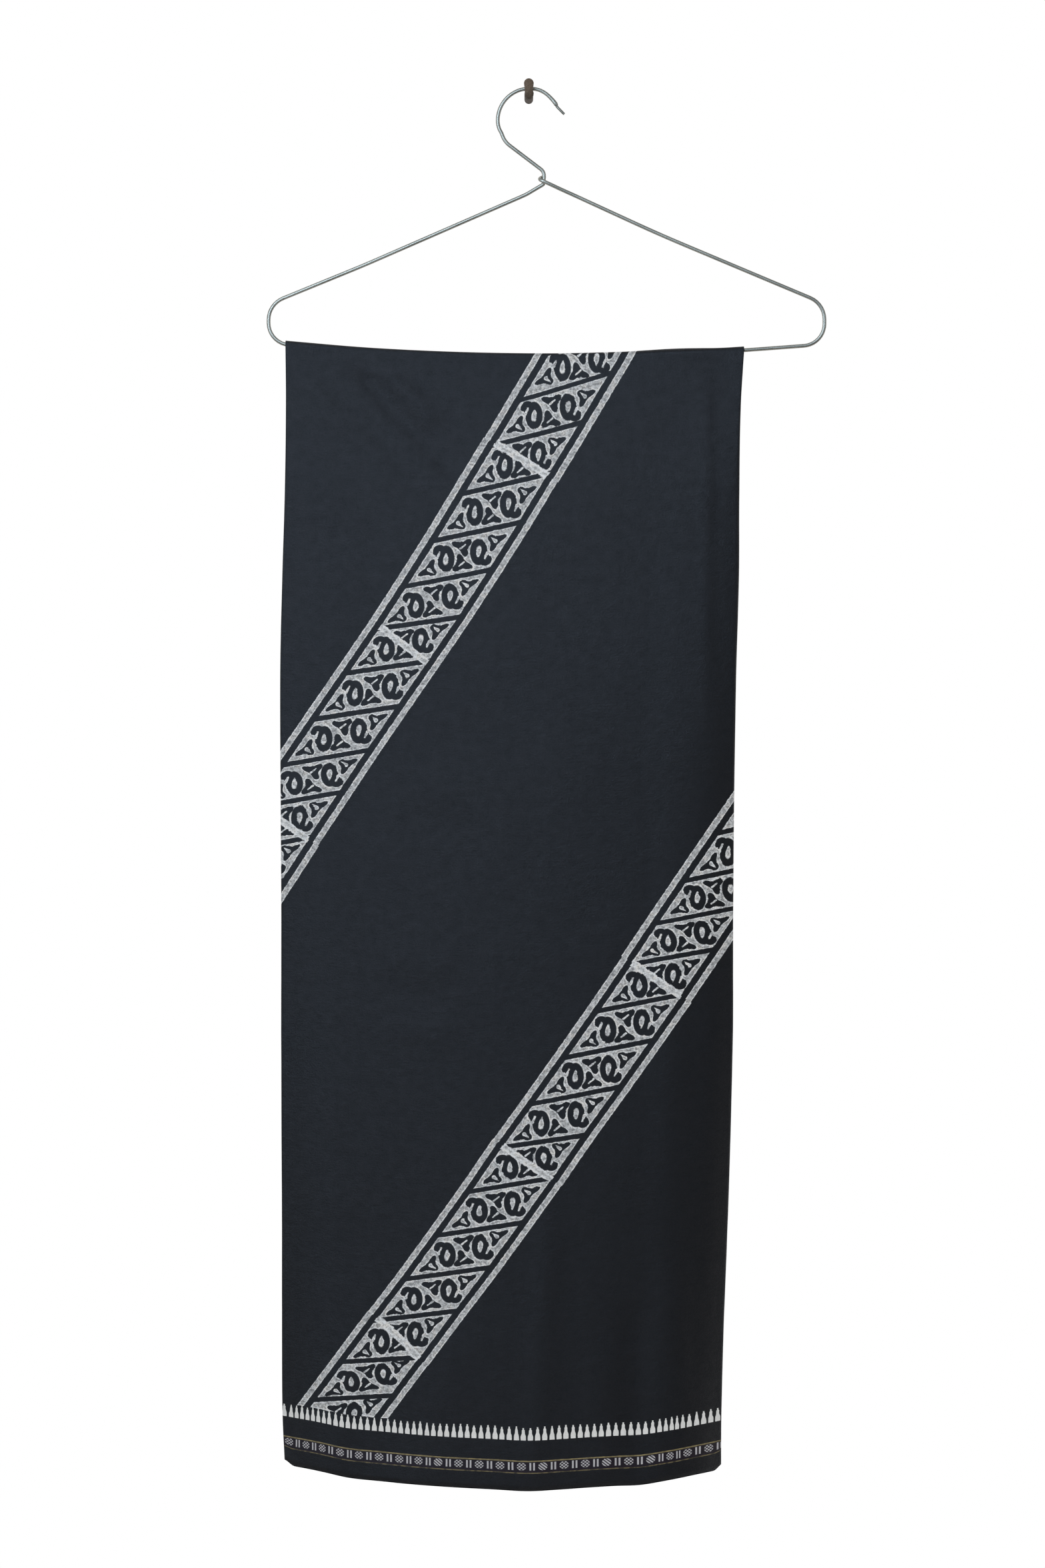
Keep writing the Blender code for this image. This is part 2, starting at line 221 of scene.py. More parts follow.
class Graph:
    """The node tree of one material, with short ways to add nodes."""

    def __init__(self, name: str) -> None:
        """Start a material with one shader in it.

        Args:
            name: The material's name.
        """
        self.material = bpy.data.materials.new(name)
        self.material.use_nodes = True
        self.nodes = self.material.node_tree.nodes
        self.links = self.material.node_tree.links
        self.shader = self.nodes["Principled BSDF"]

    def put(self, socket: bpy.types.NodeSocket, value: object) -> None:
        """Give a socket a number, a link or a constant.

        Args:
            socket: The input socket.
            value: A Number, another node's output socket, or a constant.
        """
        if isinstance(value, Number):
            self.links.new(value.socket, socket)
        elif isinstance(value, bpy.types.NodeSocket):
            self.links.new(value, socket)
        else:
            socket.default_value = value

    def add(self, kind: str, inputs: Inputs, **settings: object) -> bpy.types.Node:
        """Add one node.

        Args:
            kind: Its type, without Blender's leading word ShaderNode.
            inputs: What its sockets are given, by name or number.
            settings: Its own settings by name.

        Returns:
            The node.
        """
        node = self.nodes.new(f"ShaderNode{kind}")
        for name, setting in settings.items():
            setattr(node, name, setting)
        for key, value in inputs.items():
            self.put(node.inputs[key], value)
        return node

    def number(self, kind: str, inputs: Inputs, out: str | int = 0, **settings: object) -> Number:
        """Add one node as add does, and read the output with this name or number."""
        return Number(self, self.add(kind, inputs, **settings).outputs[out])

    def math(self, operation: str, *values: Number | float) -> Number:
        """The result of one Math node."""
        return self.number("Math", dict(enumerate(values)), operation=operation)

    def fade(self, value: Number, start: float, end: float, low: float, high: float) -> Number:
        """A smooth step between two levels.

        Args:
            value: The number to read.
            start: Where the step starts, which may lie above its end.
            end: Where it ends.
            low: The level at its start.
            high: The level at its end.

        Returns:
            The level.
        """
        if start > end:
            start, end, low, high = end, start, high, low
        inputs = dict(enumerate((value, start, end, low, high)))
        return self.number("MapRange", inputs, interpolation_type="SMOOTHSTEP")

    def length(self, x: Number | float, y: Number | float) -> Number:
        """Length of a flat vector."""
        return self.number("VectorMath", {0: self.vector(x, y, 0.0)}, "Value", operation="LENGTH")

    def vector(self, x: object, y: object, z: object) -> bpy.types.NodeSocket:
        """A vector from three numbers."""
        return self.add("CombineXYZ", {"X": x, "Y": y, "Z": z}).outputs[0]

    def uv(self, name: str) -> tuple[Number, Number]:
        """The two coordinates of a named UV map."""
        parts = self.add("SeparateXYZ", {0: self.add("UVMap", {}, uv_map=name).outputs[0]}).outputs
        return Number(self, parts["X"]), Number(self, parts["Y"])

    def place(self) -> bpy.types.NodeSocket:
        """The point on the object, in metres."""
        return self.add("TexCoord", {}).outputs["Object"]

    def height(self, at: object) -> Number:
        """The third coordinate of a point."""
        return self.number("SeparateXYZ", {0: at}, "Z")

    def noise(self, at: object, scale: float, detail: float = 2.0, rough: float = 0.5) -> Number:
        """Soft random values around a half."""
        inputs = {"Vector": at, "Scale": scale, "Detail": detail, "Roughness": rough}
        return self.number("TexNoise", inputs, "Fac")

    def chance(self, x: Number, y: Number | float = 0.0) -> Number:
        """One random value for each pair of whole numbers."""
        at = self.vector(x, y, 0.0)
        return self.number("TexWhiteNoise", {"Vector": at}, "Value", noise_dimensions="3D")

    def profile(self, value: Number, points: Table) -> Number:
        """Read a drawn curve.

        Args:
            value: Where to read it, between 0 and 1.
            points: The curve's points.

        Returns:
            The curve's height there.
        """
        node = self.add("FloatCurve", {"Value": value})
        curve = node.mapping.curves[0]
        for index, (x, y) in enumerate(points):
            if index < len(curve.points):
                curve.points[index].location = (x, y)
            else:
                curve.points.new(x, y)
        node.mapping.update()
        return Number(self, node.outputs[0])

    def blend(self, share: Number | float, below: object, above: object) -> bpy.types.NodeSocket:
        """Mix two colours by a share."""
        inputs = {MIX_SHARE: share, MIX_BELOW: below, MIX_ABOVE: above}
        return self.add("Mix", inputs, data_type="RGBA").outputs[MIX_COLOUR]

    def scaled(self, colour: Colour, by: Number) -> bpy.types.NodeSocket:
        """A colour times a number."""
        return self.add("VectorMath", {0: colour, "Scale": by}, operation="SCALE").outputs[0]

    def finish(self, colour: object, roughness: object, **levels: float | tuple[float, ...]) -> None:
        """Set the shader's colour, roughness and steady levels.

        Args:
            colour: The base colour.
            roughness: The roughness.
            levels: Other sockets by name, with _ for a space.
        """
        self.put(self.shader.inputs["Base Color"], colour)
        self.put(self.shader.inputs["Roughness"], roughness)
        for name, level in levels.items():
            self.shader.inputs[name.replace("_", " ")].default_value = level

    def bump(self, height: Number, distance: float, strength: float) -> None:
        """Give the shader a fine relief, with a full depth in metres and a share of it that shows."""
        node = self.add("Bump", {"Strength": strength, "Distance": distance, "Height": height})
        self.links.new(node.outputs[0], self.shader.inputs["Normal"])


# The print, in millimetres


@dataclass(frozen=True)
class Drop:
    """A rounded stroke of the print that changes width from one end to the other."""

    start: Pair
    end: Pair
    radii: Pair

    def edge(self, g: Graph, x: Number, z: Number) -> Number:
        """Distance outside the stroke.

        Args:
            g: The material's graph.
            x: Place across.
            z: Place up.

        Returns:
            A number below 0 inside the stroke.
        """
        run = (self.end[0] - self.start[0], self.end[1] - self.start[1])
        square = run[0] ** 2 + run[1] ** 2
        growth = self.radii[1] - self.radii[0]
        px, pz = x - self.start[0], z - self.start[1]
        t = (px * (run[0] / square) + pz * (run[1] / square)).held()
        return g.length(px - t * run[0], pz - t * run[1]) - t * growth - self.radii[0]


@dataclass(frozen=True)
class Filler:
    """A small three-cornered leaf of the print with a drop in it, measured from the cell's middle."""

    corners: tuple[Pair, Pair, Pair]
    drop: Drop
    reach: float = 6.0
    waist: float = 2.7
    sharpness: float = 2.0
    # Where the three tips of a regular leaf point, degrees
    tips: tuple[float, float, float] = (90.0, -30.0, 210.0)

    def edge(self, g: Graph, x: Number, z: Number) -> Number:
        """Distance outside the leaf's outline, with its drop left out.

        Args:
            g: The material's graph.
            x: Place across.
            z: Place up.

        Returns:
            A number below 0 inside the leaf.
        """
        regular = [(self.reach * math.cos(a), self.reach * math.sin(a)) for a in np.radians(self.tips)]
        rows = np.array([(cx, cz, 1.0) for cx, cz in self.corners])
        to_regular = [np.linalg.solve(rows, np.array(column)) for column in zip(*regular)]
        u, w = (x * float(a) + z * float(b) + float(c) for a, b, c in to_regular)
        turn = g.math("ARCTAN2", u, w) * float(len(self.tips))
        lobe = (turn.cosine() * 0.5 + 0.5).power(self.sharpness)
        leaf = g.length(u, w) - self.waist - lobe * (self.reach - self.waist)
        return leaf.most(-self.drop.edge(g, x, z))


@dataclass(frozen=True)
class Mango:
    """The print's hooked mango leaf with a seed in it, measured from the leaf's middle."""

    middle: Pair = (-12.4, -3.2)
    radii: Pair = (5.9, 9.1)
    seed_radii: Pair = (2.2, 5.1)
    seed_taper: float = 0.42
    seed_lean: float = 0.4
    hook: Pair = (-4.5, 4.9)
    hook_radius: float = 3.0
    hook_half: float = 1.8
    foot: Drop = Drop((-7.5, 4.9), (-6.8, 2.5), (1.5, 0.3))
    notch: Drop = Drop((-4.4, 5.0), (-6.3, 0.9), (0.9, 1.5))

    def edge(self, g: Graph, x: Number, z: Number) -> Number:
        """Distance outside the leaf's outline, with its seed left out.

        Args:
            g: The material's graph.
            x: Place across.
            z: Place up.

        Returns:
            A number below 0 inside the leaf.
        """
        x, z = x - self.middle[0], z - self.middle[1]
        body = (g.length(x / self.radii[0], z / self.radii[1]) - 1.0) * self.radii[0]
        hx, hz = x - self.hook[0], z - self.hook[1]
        ring = g.length(hx, hz.most(0.0)) - self.hook_radius
        hook = g.length(ring, hz.least(0.0)) - self.hook_half
        leaf = body.least(hook).least(self.foot.edge(g, x, z)).most(-self.notch.edge(g, x, z))
        up = z / self.seed_radii[1]
        wide = (1.0 - up * self.seed_taper) * self.seed_radii[0]
        seed = (g.length((x - up * self.seed_lean) / wide, up) - 1.0) * self.seed_radii[0]
        return leaf.most(-seed)


@dataclass(frozen=True)
class SilverBands:
    """The block-printed silver bands: rails, slanted cells, mango leaves and fillers."""

    cell_half: float = 25.9
    cell_round: float = 0.9
    divider_half: float = 2.1
    rail_at: float = 34.0
    rail_half: float = 2.65
    reach: float = 41.0
    fold_slope: float = 0.95
    # The printing block covers four cells; its joints slant and overlap
    block_share: float = 0.25
    block_shift: float = 1.9
    joint_slope: float = 0.69
    joint_at: float = 1.8
    joint_half: float = 1.9
    joint_scale: float = 3.4
    joint_past: float = 0.4
    ends_at: float = 45.9
    leaf_spread: float = 0.34
    # How far the leaves of a cell stray across and up, and how ragged an edge is
    stray: Pair = (1.1, 1.5)
    ragged: float = 0.9
    mango: Mango = Mango()
    fillers: tuple[Filler, ...] = (
        Filler(
            ((-21.8, -3.9), (-20.0, -14.3), (-32.3, -15.0)),
            Drop((-24.6, -11.0), (-21.2, -13.8), (1.9, 0.4)),
        ),
        Filler(((-3.0, 0.0), (6.6, -9.2), (-6.8, -11.4)), Drop((-2.8, -8.3), (1.0, -5.2), (0.85, 1.1))),
    )

    def draw(self, g: Graph, wobble: Number, height: Number) -> tuple[Number, Number]:
        """Work out where the paste lies.

        Args:
            g: The material's graph, whose mesh has the UV maps Bands and Slant.
            wobble: Random value around 0 that makes the edges uneven.
            height: Distance from the selvedge.

        Returns:
            The distance outside the paste, and the distance outside a joint's overlap.
        """
        period, along = g.uv("Bands")
        slope, lean = g.uv("Slant")
        pitch = CELL_PITCH / MM
        band = (period + 0.5).floor()
        across = (period - band) * (BAND_PERIOD / MM)
        joint = along - (across + self.rail_at) * (self.joint_slope / pitch) - self.joint_at
        block = (joint * self.block_share).floor()
        across = across + (g.chance(block, band) - 0.5) * self.block_shift
        seam = ((joint * self.block_share - block - 0.5).size() * -1.0 + 0.5) * (self.joint_scale * pitch)
        cell = along.floor()
        up = (cell - along + 0.5) * pitch
        z = up + across * slope
        x = across + z * lean
        side = g.math("SIGN", z + x * self.fold_slope) * -1.0
        x = x * side + wobble * self.ragged + (g.chance(cell, band) - 0.5) * self.stray[0]
        z = z * side + wobble + (g.chance(cell, side) - 0.5) * self.stray[1]
        dark = self.mango.edge(g, x, z)
        for filler in self.fillers:
            dark = dark.least(filler.edge(g, x, z))
        beside, above = across.size() - self.cell_half, up.size() - (pitch * 0.5 - self.divider_half)
        box = g.math("SMOOTH_MAX", beside, above, self.cell_round)
        strip = (seam - self.joint_half + wobble * self.ragged).most(beside - self.joint_past)
        rail = (across.size() - self.rail_at).size() - self.rail_half
        paste = box.most(self.leaf_spread - dark).least(rail).least(strip) + wobble
        return paste.most(self.ends_at - height + wobble), strip


@dataclass(frozen=True)
class WovenBorder:
    """The woven border along both long edges, measured from the selvedge."""

    reach: float = 49.0
    ragged: float = 0.3
    soft: Pair = (0.2, -0.2)
    spire_foot: float = 36.2
    spire_height: float = 9.6
    spire_pitch: float = SPIRE_PITCH / MM
    spire_half: float = 1.8
    spire_stray: float = 0.3
    spire_seeds: Pair = (3.0, 8.0)
    # What luck adds to a spire's share of the height, and the least share
    spire_growth: Pair = (0.12, 0.92)
    tower_share: float = 0.14
    # Share of a spire's height and its half width there
    bottle: Table = (
        (0.0, 0.95), (0.1, 1.0), (0.34, 0.95), (0.5, 0.68), (0.6, 0.57), (0.8, 0.54), (0.87, 0.32),
        (1.0, 0.26),
    )
    tower: Table = ((0.0, 1.0), (0.3, 0.92), (0.5, 0.62), (0.74, 0.46), (0.86, 0.3), (1.0, 0.2))
    thread_soft: Pair = (0.25, -0.15)
    gold_at: float = 21.3
    gold_half: float = 0.4
    lower_at: float = 12.8
    lower_half: float = 0.32
    motif_at: float = 17.5
    motif_every: int = 3
    motif_shift: float = 2.72
    motif_ragged: float = 0.2
    bar_at: float = 1.28
    bar_half: float = 0.6
    bar_height: float = 2.7
    flower: Pair = (3.2, 2.75)
    knot_pitch: Pair = (2.7, 2.2)
    knot_size: float = 0.38
    knot_scale: float = 1.85
    hatched_seed: float = 5.0
    hatched_share: float = 0.25
    hatched_gain: float = 0.1

    def spires(self, g: Graph, across: Number, height: Number, wobble: Number) -> Number:
        """How much of a white temple spire shows.

        Args:
            g: The material's graph.
            across: Place along the border.
            height: Distance from the selvedge.
            wobble: Random value that makes the edges uneven.

        Returns:
            A share from 0 to 1.
        """
        turn = across / self.spire_pitch + 0.5
        index = turn.floor()
        luck, other = (g.chance(index, seed) for seed in self.spire_seeds)
        rough = wobble * self.ragged
        aside = (turn - index - 0.5) * self.spire_pitch + (other - 0.5) * self.spire_stray + rough
        up = (height - self.spire_foot + rough) / (luck.line(*self.spire_growth) * self.spire_height)
        kind = other.over(self.tower_share)
        half = g.profile(up, self.bottle) * kind + g.profile(up, self.tower) * (1.0 - kind)
        inside = aside.size() - half * self.spire_half
        ends = (up * -1.0).most(up - 1.0) * self.spire_height
        return inside.most(ends).fade(*self.soft)

    def motifs(self, g: Graph, across: Number, height: Number, wobble: Number) -> Number:
        """How much of the small flowers and bars shows.

        Args:
            g: The material's graph.
            across: Place along the border.
            height: Distance from the selvedge.
            wobble: Random value that makes the edges uneven.

        Returns:
            A share from 0 to 1.
        """
        pitch = self.motif_every * self.spire_pitch
        turn = across / pitch - self.motif_shift / self.motif_every + 0.5
        index = turn.floor()
        x = (turn - index - 0.5) * pitch + wobble * self.motif_ragged
        z = height - self.motif_at + wobble * self.motif_ragged
        beside = (x.size() - (pitch * 0.5 - self.bar_at)).size() - self.bar_half
        bars = beside.most(z.size() - self.bar_height)
        one = ((x / self.knot_pitch[0] + z / self.knot_pitch[1]).rest() - 0.5).size()
        two = ((x / self.knot_pitch[0] - z / self.knot_pitch[1]).rest() - 0.5).size()
        hatched = g.chance(index, self.hatched_seed).under(self.hatched_share)
        knots = g.length(one, two * (1.0 - hatched)) + hatched * self.hatched_gain - self.knot_size
        outline = (g.length(x / self.flower[0], z / self.flower[1]) - 1.0) * self.flower[1]
        return bars.least((knots * self.knot_scale).most(outline)).fade(*self.soft)

    def thread(self, height: Number, at: float, half: float, wobble: Number) -> Number:
        """How much of a gold line shows, from 0 to 1, by its height and half width."""
        return ((height - at + wobble * self.ragged).size() - half).fade(*self.thread_soft)


# The finishes


class Zone(Enum):
    """Which pattern a face of the cloth can carry, in the order of its material slots."""

    PLAIN = 0
    BANDED = 1
    BORDERED = 2


@dataclass(frozen=True)
class BlackCotton:
    """Black cotton lawn: plain, with the silver bands, or with the woven border as well."""

    name: str = "black_cotton"
    black: Colour = (0.005, 0.0047, 0.005)
    silver: Colour = (0.8, 0.825, 0.85)
    warm_silver: Colour = (0.79, 0.785, 0.775)
    white: Colour = (0.92, 0.925, 0.915)
    dull_white: Colour = (0.58, 0.57, 0.6)
    maroon: Colour = (0.0105, 0.0052, 0.0098)
    gold: Colour = (0.29, 0.24, 0.115)
    roughness: float = 0.46
    gloss: float = 0.315
    gloss_tint: Step = (0.86, 0.9, 1.0, 1.0)
    # Millimetres from thread to thread in the cloth, along the gold twist and between the white picks
    thread_pitch: float = 0.42
    twist_pitch: float = 0.9
    pick_pitch: float = 0.55
    # Random unevenness: how close it is, per millimetre, its detail and its roughness
    fine: Triple = (0.8, 2.0, 0.6)
    broad: Triple = (0.13, 4.0, 0.8)
    torn: Triple = (0.3, 2.0, 0.6)
    mottle: Triple = (0.42, 3.0, 0.78)
    pooled: Triple = (0.2, 1.0, 0.5)
    speck: Triple = (1.1, 1.0, 0.5)
    steady: Triple = (1.0, 1.0, 0.5)
    # How close thick threads and breaks in the gold are, across and up, and where their noise starts
    slub_at: Triple = (0.06, 0.9, 2.0)
    breaks_at: Triple = (0.25, 0.1, 5.0)
    # Shares of fine, slub and broad unevenness in the colour, and of weave and those in the relief
    in_colour: Triple = (1.5, 0.45, 1.7)
    in_relief: Step = (0.16, 0.9, 0.35, 2.6)
    relief: float = 0.25 * MM
    relief_shown: float = 0.8
    # Shares of broad and fine unevenness in the roughness, and what the paste takes off it
    in_roughness: Pair = (-0.44, -0.3)
    paste_smooth: float = 0.04
    wobble: float = 1.25
    # Paste: where a measure starts and ends to count, and the level it gives at either place
    paste_edge: Pair = (0.2, -0.2)
    # The rim measures mark the paste's raised rim, a band just inside its edge, which a painted highlight
    # lightens
    rim_starts: Pair = (-1.15, -0.65)
    rim_ends: Pair = (0.0, -0.3)
    rim_pooled: Step = (0.3, 0.6, 0.3, 1.0)
    lap_starts: Pair = (0.2, -0.5)
    lap_ends: Step = (-1.9, -1.0, 0.45, 1.0)
    lap_pooled: Step = (0.35, 0.55, 0.6, 1.0)
    speck_tone: Step = (0.3, 0.36, 0.5, 1.0)
    mottle_tone: Step = (0.36, 0.62, 0.36, 0.92)
    pooled_tone: Step = (0.3, 0.65, 0.84, 1.08)
    warm_from: Pair = (0.45, 0.7)
    brightest: float = 1.15
    # How much the painted highlight lightens the paste's rim
    rim_highlight_gain: float = 0.42
    lap_gain: float = 0.36
    # Border: gain and base of each tone
    broken_from: Pair = (0.38, 0.6)
    twist_slant: float = 4.0
    twist_tone: Pair = (0.15, 0.9)
    lower_gilt: Pair = (0.35, 0.25)
    gold_tone: Pair = (0.4, 0.7)
    pick_tone: Pair = (0.05, 0.95)
    fine_tone: Pair = (0.3, 0.88)
    bands: SilverBands = SilverBands()
    border: WovenBorder = WovenBorder()

    def zones(self, bands: np.ndarray, heights: np.ndarray) -> np.ndarray:
        """The zone of each face, from its corners.

        Args:
            bands: Distance of each corner from its band's middle, millimetres.
            heights: Distance of each corner from the nearer selvedge, millimetres.

        Returns:
            One slot number for each face.
        """
        near_band = np.abs(bands).min(axis=1) < self.bands.reach
        near_edge = heights.min(axis=1) < self.border.reach
        zone = np.where(near_band, Zone.BANDED.value, Zone.PLAIN.value)
        return np.where(near_edge, Zone.BORDERED.value, zone)

    def make(self, zone: Zone) -> bpy.types.Material:
        """Build the material of one zone.

        Args:
            zone: The pattern that its faces can carry.

        Returns:
            The material, for meshes with the UV maps Cloth, Bands, Slant and Border.
        """
        g = Graph(f"{self.name}_{zone.name.lower()}")
        across, up = (part * (1.0 / MM) for part in g.uv("Cloth"))
        height = up.least(CLOTH_WIDTH / MM - up)
        at = g.vector(across, up, 0.0)
        fine = g.noise(at, *self.fine)
        broad = g.noise(at, *self.broad)
        close_across, close_up, start = self.slub_at
        slub = g.noise(g.vector(across * close_across, up * close_up, start), *self.steady)
        by_fine, by_slub, by_broad = self.in_colour
        grain = (fine - 0.5) * by_fine + (slub - 0.5) * by_slub + (broad - 0.5) * by_broad
        colour = g.scaled(self.black, grain + 1.0)
        by_broad, by_fine = self.in_roughness
        rough = (broad - 0.5) * by_broad + (fine - 0.5) * by_fine + self.roughness
        if zone is not Zone.PLAIN:
            wobble = (g.noise(at, *self.torn) - 0.5) * self.wobble
            colour, cover = self.printed(g, at, height, wobble, colour)
            rough = rough - cover * self.paste_smooth
        if zone is Zone.BORDERED:
            colour = self.woven(g, height, wobble, grain, fine, colour)
        g.finish(colour, rough, Specular_IOR_Level=self.gloss, Specular_Tint=self.gloss_tint)
        turns = math.tau / self.thread_pitch
        weave = (across * turns).sine() * (up * turns).sine()
        by_weave, by_fine, by_slub, by_broad = self.in_relief
        relief = weave * by_weave + fine * by_fine + slub * by_slub + broad * by_broad
        g.bump(relief, self.relief, self.relief_shown)
        return g.material

    def printed(
        self, g: Graph, at: object, height: Number, wobble: Number, cloth: bpy.types.NodeSocket
    ) -> tuple[bpy.types.NodeSocket, Number]:
        """Lay the silver paste on the cloth.

        Args:
            g: The material's graph.
            at: The cloth's coordinates in millimetres.
            height: Distance from the selvedge.
            wobble: Random value that makes the edges uneven.
            cloth: The cloth's colour.

        Returns:
            The colour, and how much of the cloth the paste covers.
        """
        paste, strip = self.bands.draw(g, wobble, height)
        cover = paste.fade(*self.paste_edge)
        mottle = g.noise(at, *self.mottle)
        pooled = g.noise(at, *self.pooled)
        # Painted highlight on the paste's raised rim, just inside its edge
        rim_highlight = paste.fade(*self.rim_starts) * paste.fade(*self.rim_ends) * pooled.fade(*self.rim_pooled)
        lap = strip.fade(*self.lap_starts) * strip.fade(*self.lap_ends) * pooled.fade(*self.lap_pooled)
        speck = g.noise(at, *self.speck).fade(*self.speck_tone)
        laid = mottle.fade(*self.mottle_tone) * pooled.fade(*self.pooled_tone)
        tone = (laid + rim_highlight * self.rim_highlight_gain + lap * self.lap_gain).least(self.brightest) * speck
        warm = pooled.fade(*self.warm_from)
        tinted = g.blend(warm, g.scaled(self.silver, tone), g.scaled(self.warm_silver, tone))
        return g.blend(cover, cloth, tinted), cover

    def woven(
        self,
        g: Graph,
        height: Number,
        wobble: Number,
        grain: Number,
        fine: Number,
        cloth: bpy.types.NodeSocket,
    ) -> bpy.types.NodeSocket:
        """Weave the border into the cloth.

        Args:
            g: The material's graph.
            height: Distance from the selvedge.
            wobble: Random value that makes the edges uneven.
            grain: The cloth's unevenness around 0.
            fine: The cloth's finest unevenness.
            cloth: The colour below.

        Returns:
            The colour.
        """
        border = self.border
        along = g.uv("Border")[0] * (1.0 / MM)
        ground = (height - border.lower_at).over(0.0) * (border.gold_at - height).over(0.0)
        colour = g.blend(ground, cloth, g.scaled(self.maroon, grain + 1.0))
        upper = border.thread(height, border.gold_at, border.gold_half, wobble)
        lower = border.thread(height, border.lower_at, border.lower_half, wobble)
        close_along, close_up, start = self.breaks_at
        breaks = g.noise(g.vector(along * close_along, height * close_up, start), 1.0).fade(*self.broken_from)
        twist = along * (math.tau / self.twist_pitch) + height * self.twist_slant
        gilt = upper.most(lower * breaks.line(*self.lower_gilt))
        gold = twist.sine().line(*self.twist_tone) * breaks.line(*self.gold_tone)
        colour = g.blend(gilt, colour, g.scaled(self.gold, gold))
        picks = (height * (math.tau / self.pick_pitch)).sine().line(*self.pick_tone)
        tone = picks * fine.line(*self.fine_tone)
        motifs = border.motifs(g, along, height, wobble)
        colour = g.blend(motifs, colour, g.scaled(self.dull_white, tone))
        spires = border.spires(g, along, height, wobble)
        return g.blend(spires, colour, g.scaled(self.white, tone))


@dataclass(frozen=True)
class BareSteel:
    """Drawn steel wire, a little dull, with draw lines and small nicks."""

    name: str = "drawn_steel_wire"
    steel: Colour = (0.365, 0.352, 0.308)
    # Random unevenness: how close it is, per metre, its detail and its roughness
    dull: Triple = (28.0, 3.0, 0.6)
    nick: Triple = (700.0, 2.0, 0.6)
    # Where a noise starts and ends to count, and the level it gives at either place
    dull_tone: Step = (0.3, 0.7, 0.86, 1.14)
    nick_tone: Step = (0.24, 0.34, 0.8, 1.0)
    roughness: Step = (0.3, 0.7, 0.42, 0.52)
    # Shares of nicks and dullness in the relief
    in_relief: Pair = (0.2, 0.5)
    relief: float = 0.02 * MM
    relief_shown: float = 0.25

    def make(self) -> bpy.types.Material:
        """Build the material.

        Returns:
            The material, which reads only the object's own coordinates.
        """
        g = Graph(self.name)
        dull, nick = (g.noise(g.place(), *one) for one in (self.dull, self.nick))
        tone = dull.fade(*self.dull_tone) * nick.fade(*self.nick_tone)
        g.finish(g.scaled(self.steel, tone), dull.fade(*self.roughness), Metallic=1.0)
        by_nick, by_dull = self.in_relief
        g.bump(nick * by_nick + dull * by_dull, self.relief, self.relief_shown)
        return g.material


@dataclass(frozen=True)
class BrownIron:
    """Old brown paint on an iron peg, rubbed in patches, with painted shade that darkens its underside."""

    name: str = "brown_painted_iron"
    paint: Colour = (0.158, 0.121, 0.092)
    bare: Colour = (0.205, 0.166, 0.132)
    # Random unevenness: how close it is, per metre, its detail and its roughness
    patches: Triple = (420.0, 3.0, 0.65)
    pits: Triple = (1500.0, 2.0, 0.6)
    # Where a noise or a height starts and ends to count, and the level it gives at either place
    roughness: Step = (0.35, 0.65, 0.85, 0.65)
    pit_tone: Step = (0.3, 0.6, 0.8, 1.08)
    # Painted shade: the colour falls to half on the underside of the peg, by height
    underside_painted_shade: Step = (-3.0 * MM, 5.0 * MM, 0.5, 1.0)
    worn_from: Pair = (0.52, 0.68)
    gloss: float = 0.12
    # Shares of pits and patches in the relief
    in_relief: Pair = (0.4, 0.6)
    relief: float = 0.15 * MM
    relief_shown: float = 0.5

    def make(self) -> bpy.types.Material:
        """Build the material.

        Returns:
            The material, which reads only the object's own coordinates.
        """
        g = Graph(self.name)
        at = g.place()
        patches, pits = g.noise(at, *self.patches), g.noise(at, *self.pits)
        # The pits' tone, times painted shade that darkens the underside
        tone = pits.fade(*self.pit_tone) * g.height(at).fade(*self.underside_painted_shade)
        worn = patches.fade(*self.worn_from)
        colour = g.blend(worn, g.scaled(self.paint, tone), g.scaled(self.bare, tone))
        g.finish(colour, patches.fade(*self.roughness), Specular_IOR_Level=self.gloss)
        by_pits, by_patches = self.in_relief
        g.bump(pits * by_pits + patches * by_patches, self.relief, self.relief_shown)
        return g.material


@dataclass(frozen=True)
class PaleFloor:
    """Plain pale floor."""

    name: str = "pale_floor"
    pale: Colour = (0.93, 0.93, 0.925)
    roughness: float = 0.9
    # How close the mottle is, per metre, and its gain and base
    mottle: float = 9.0
    mottle_tone: Pair = (0.03, 0.985)

    def make(self) -> bpy.types.Material:
        """Build the material, with a faint mottle.

        Returns:
            The material, which reads only the object's own coordinates.
        """
        g = Graph(self.name)
        mottle = g.noise(g.place(), self.mottle).line(*self.mottle_tone)
        g.finish(g.scaled(self.pale, mottle), self.roughness)
        return g.material


# The cloth's shape


class Layer(Enum):
    """The six layers of the folded cloth, from the wall side to the front."""

    REAR = 0
    THIRD_FRONT = 1
    SECOND_FRONT = 2
    SECOND_REAR = 3
    FIRST_REAR = 4
    SHOWN = 5


class Stretch(Enum):
    """Where a row lies on the drape."""

    BACK = -1
    BAR = 0
    FRONT = 1


class Edge(Enum):
    """The two folded sides, seen from the front."""

    LEFT = 0
    RIGHT = 1


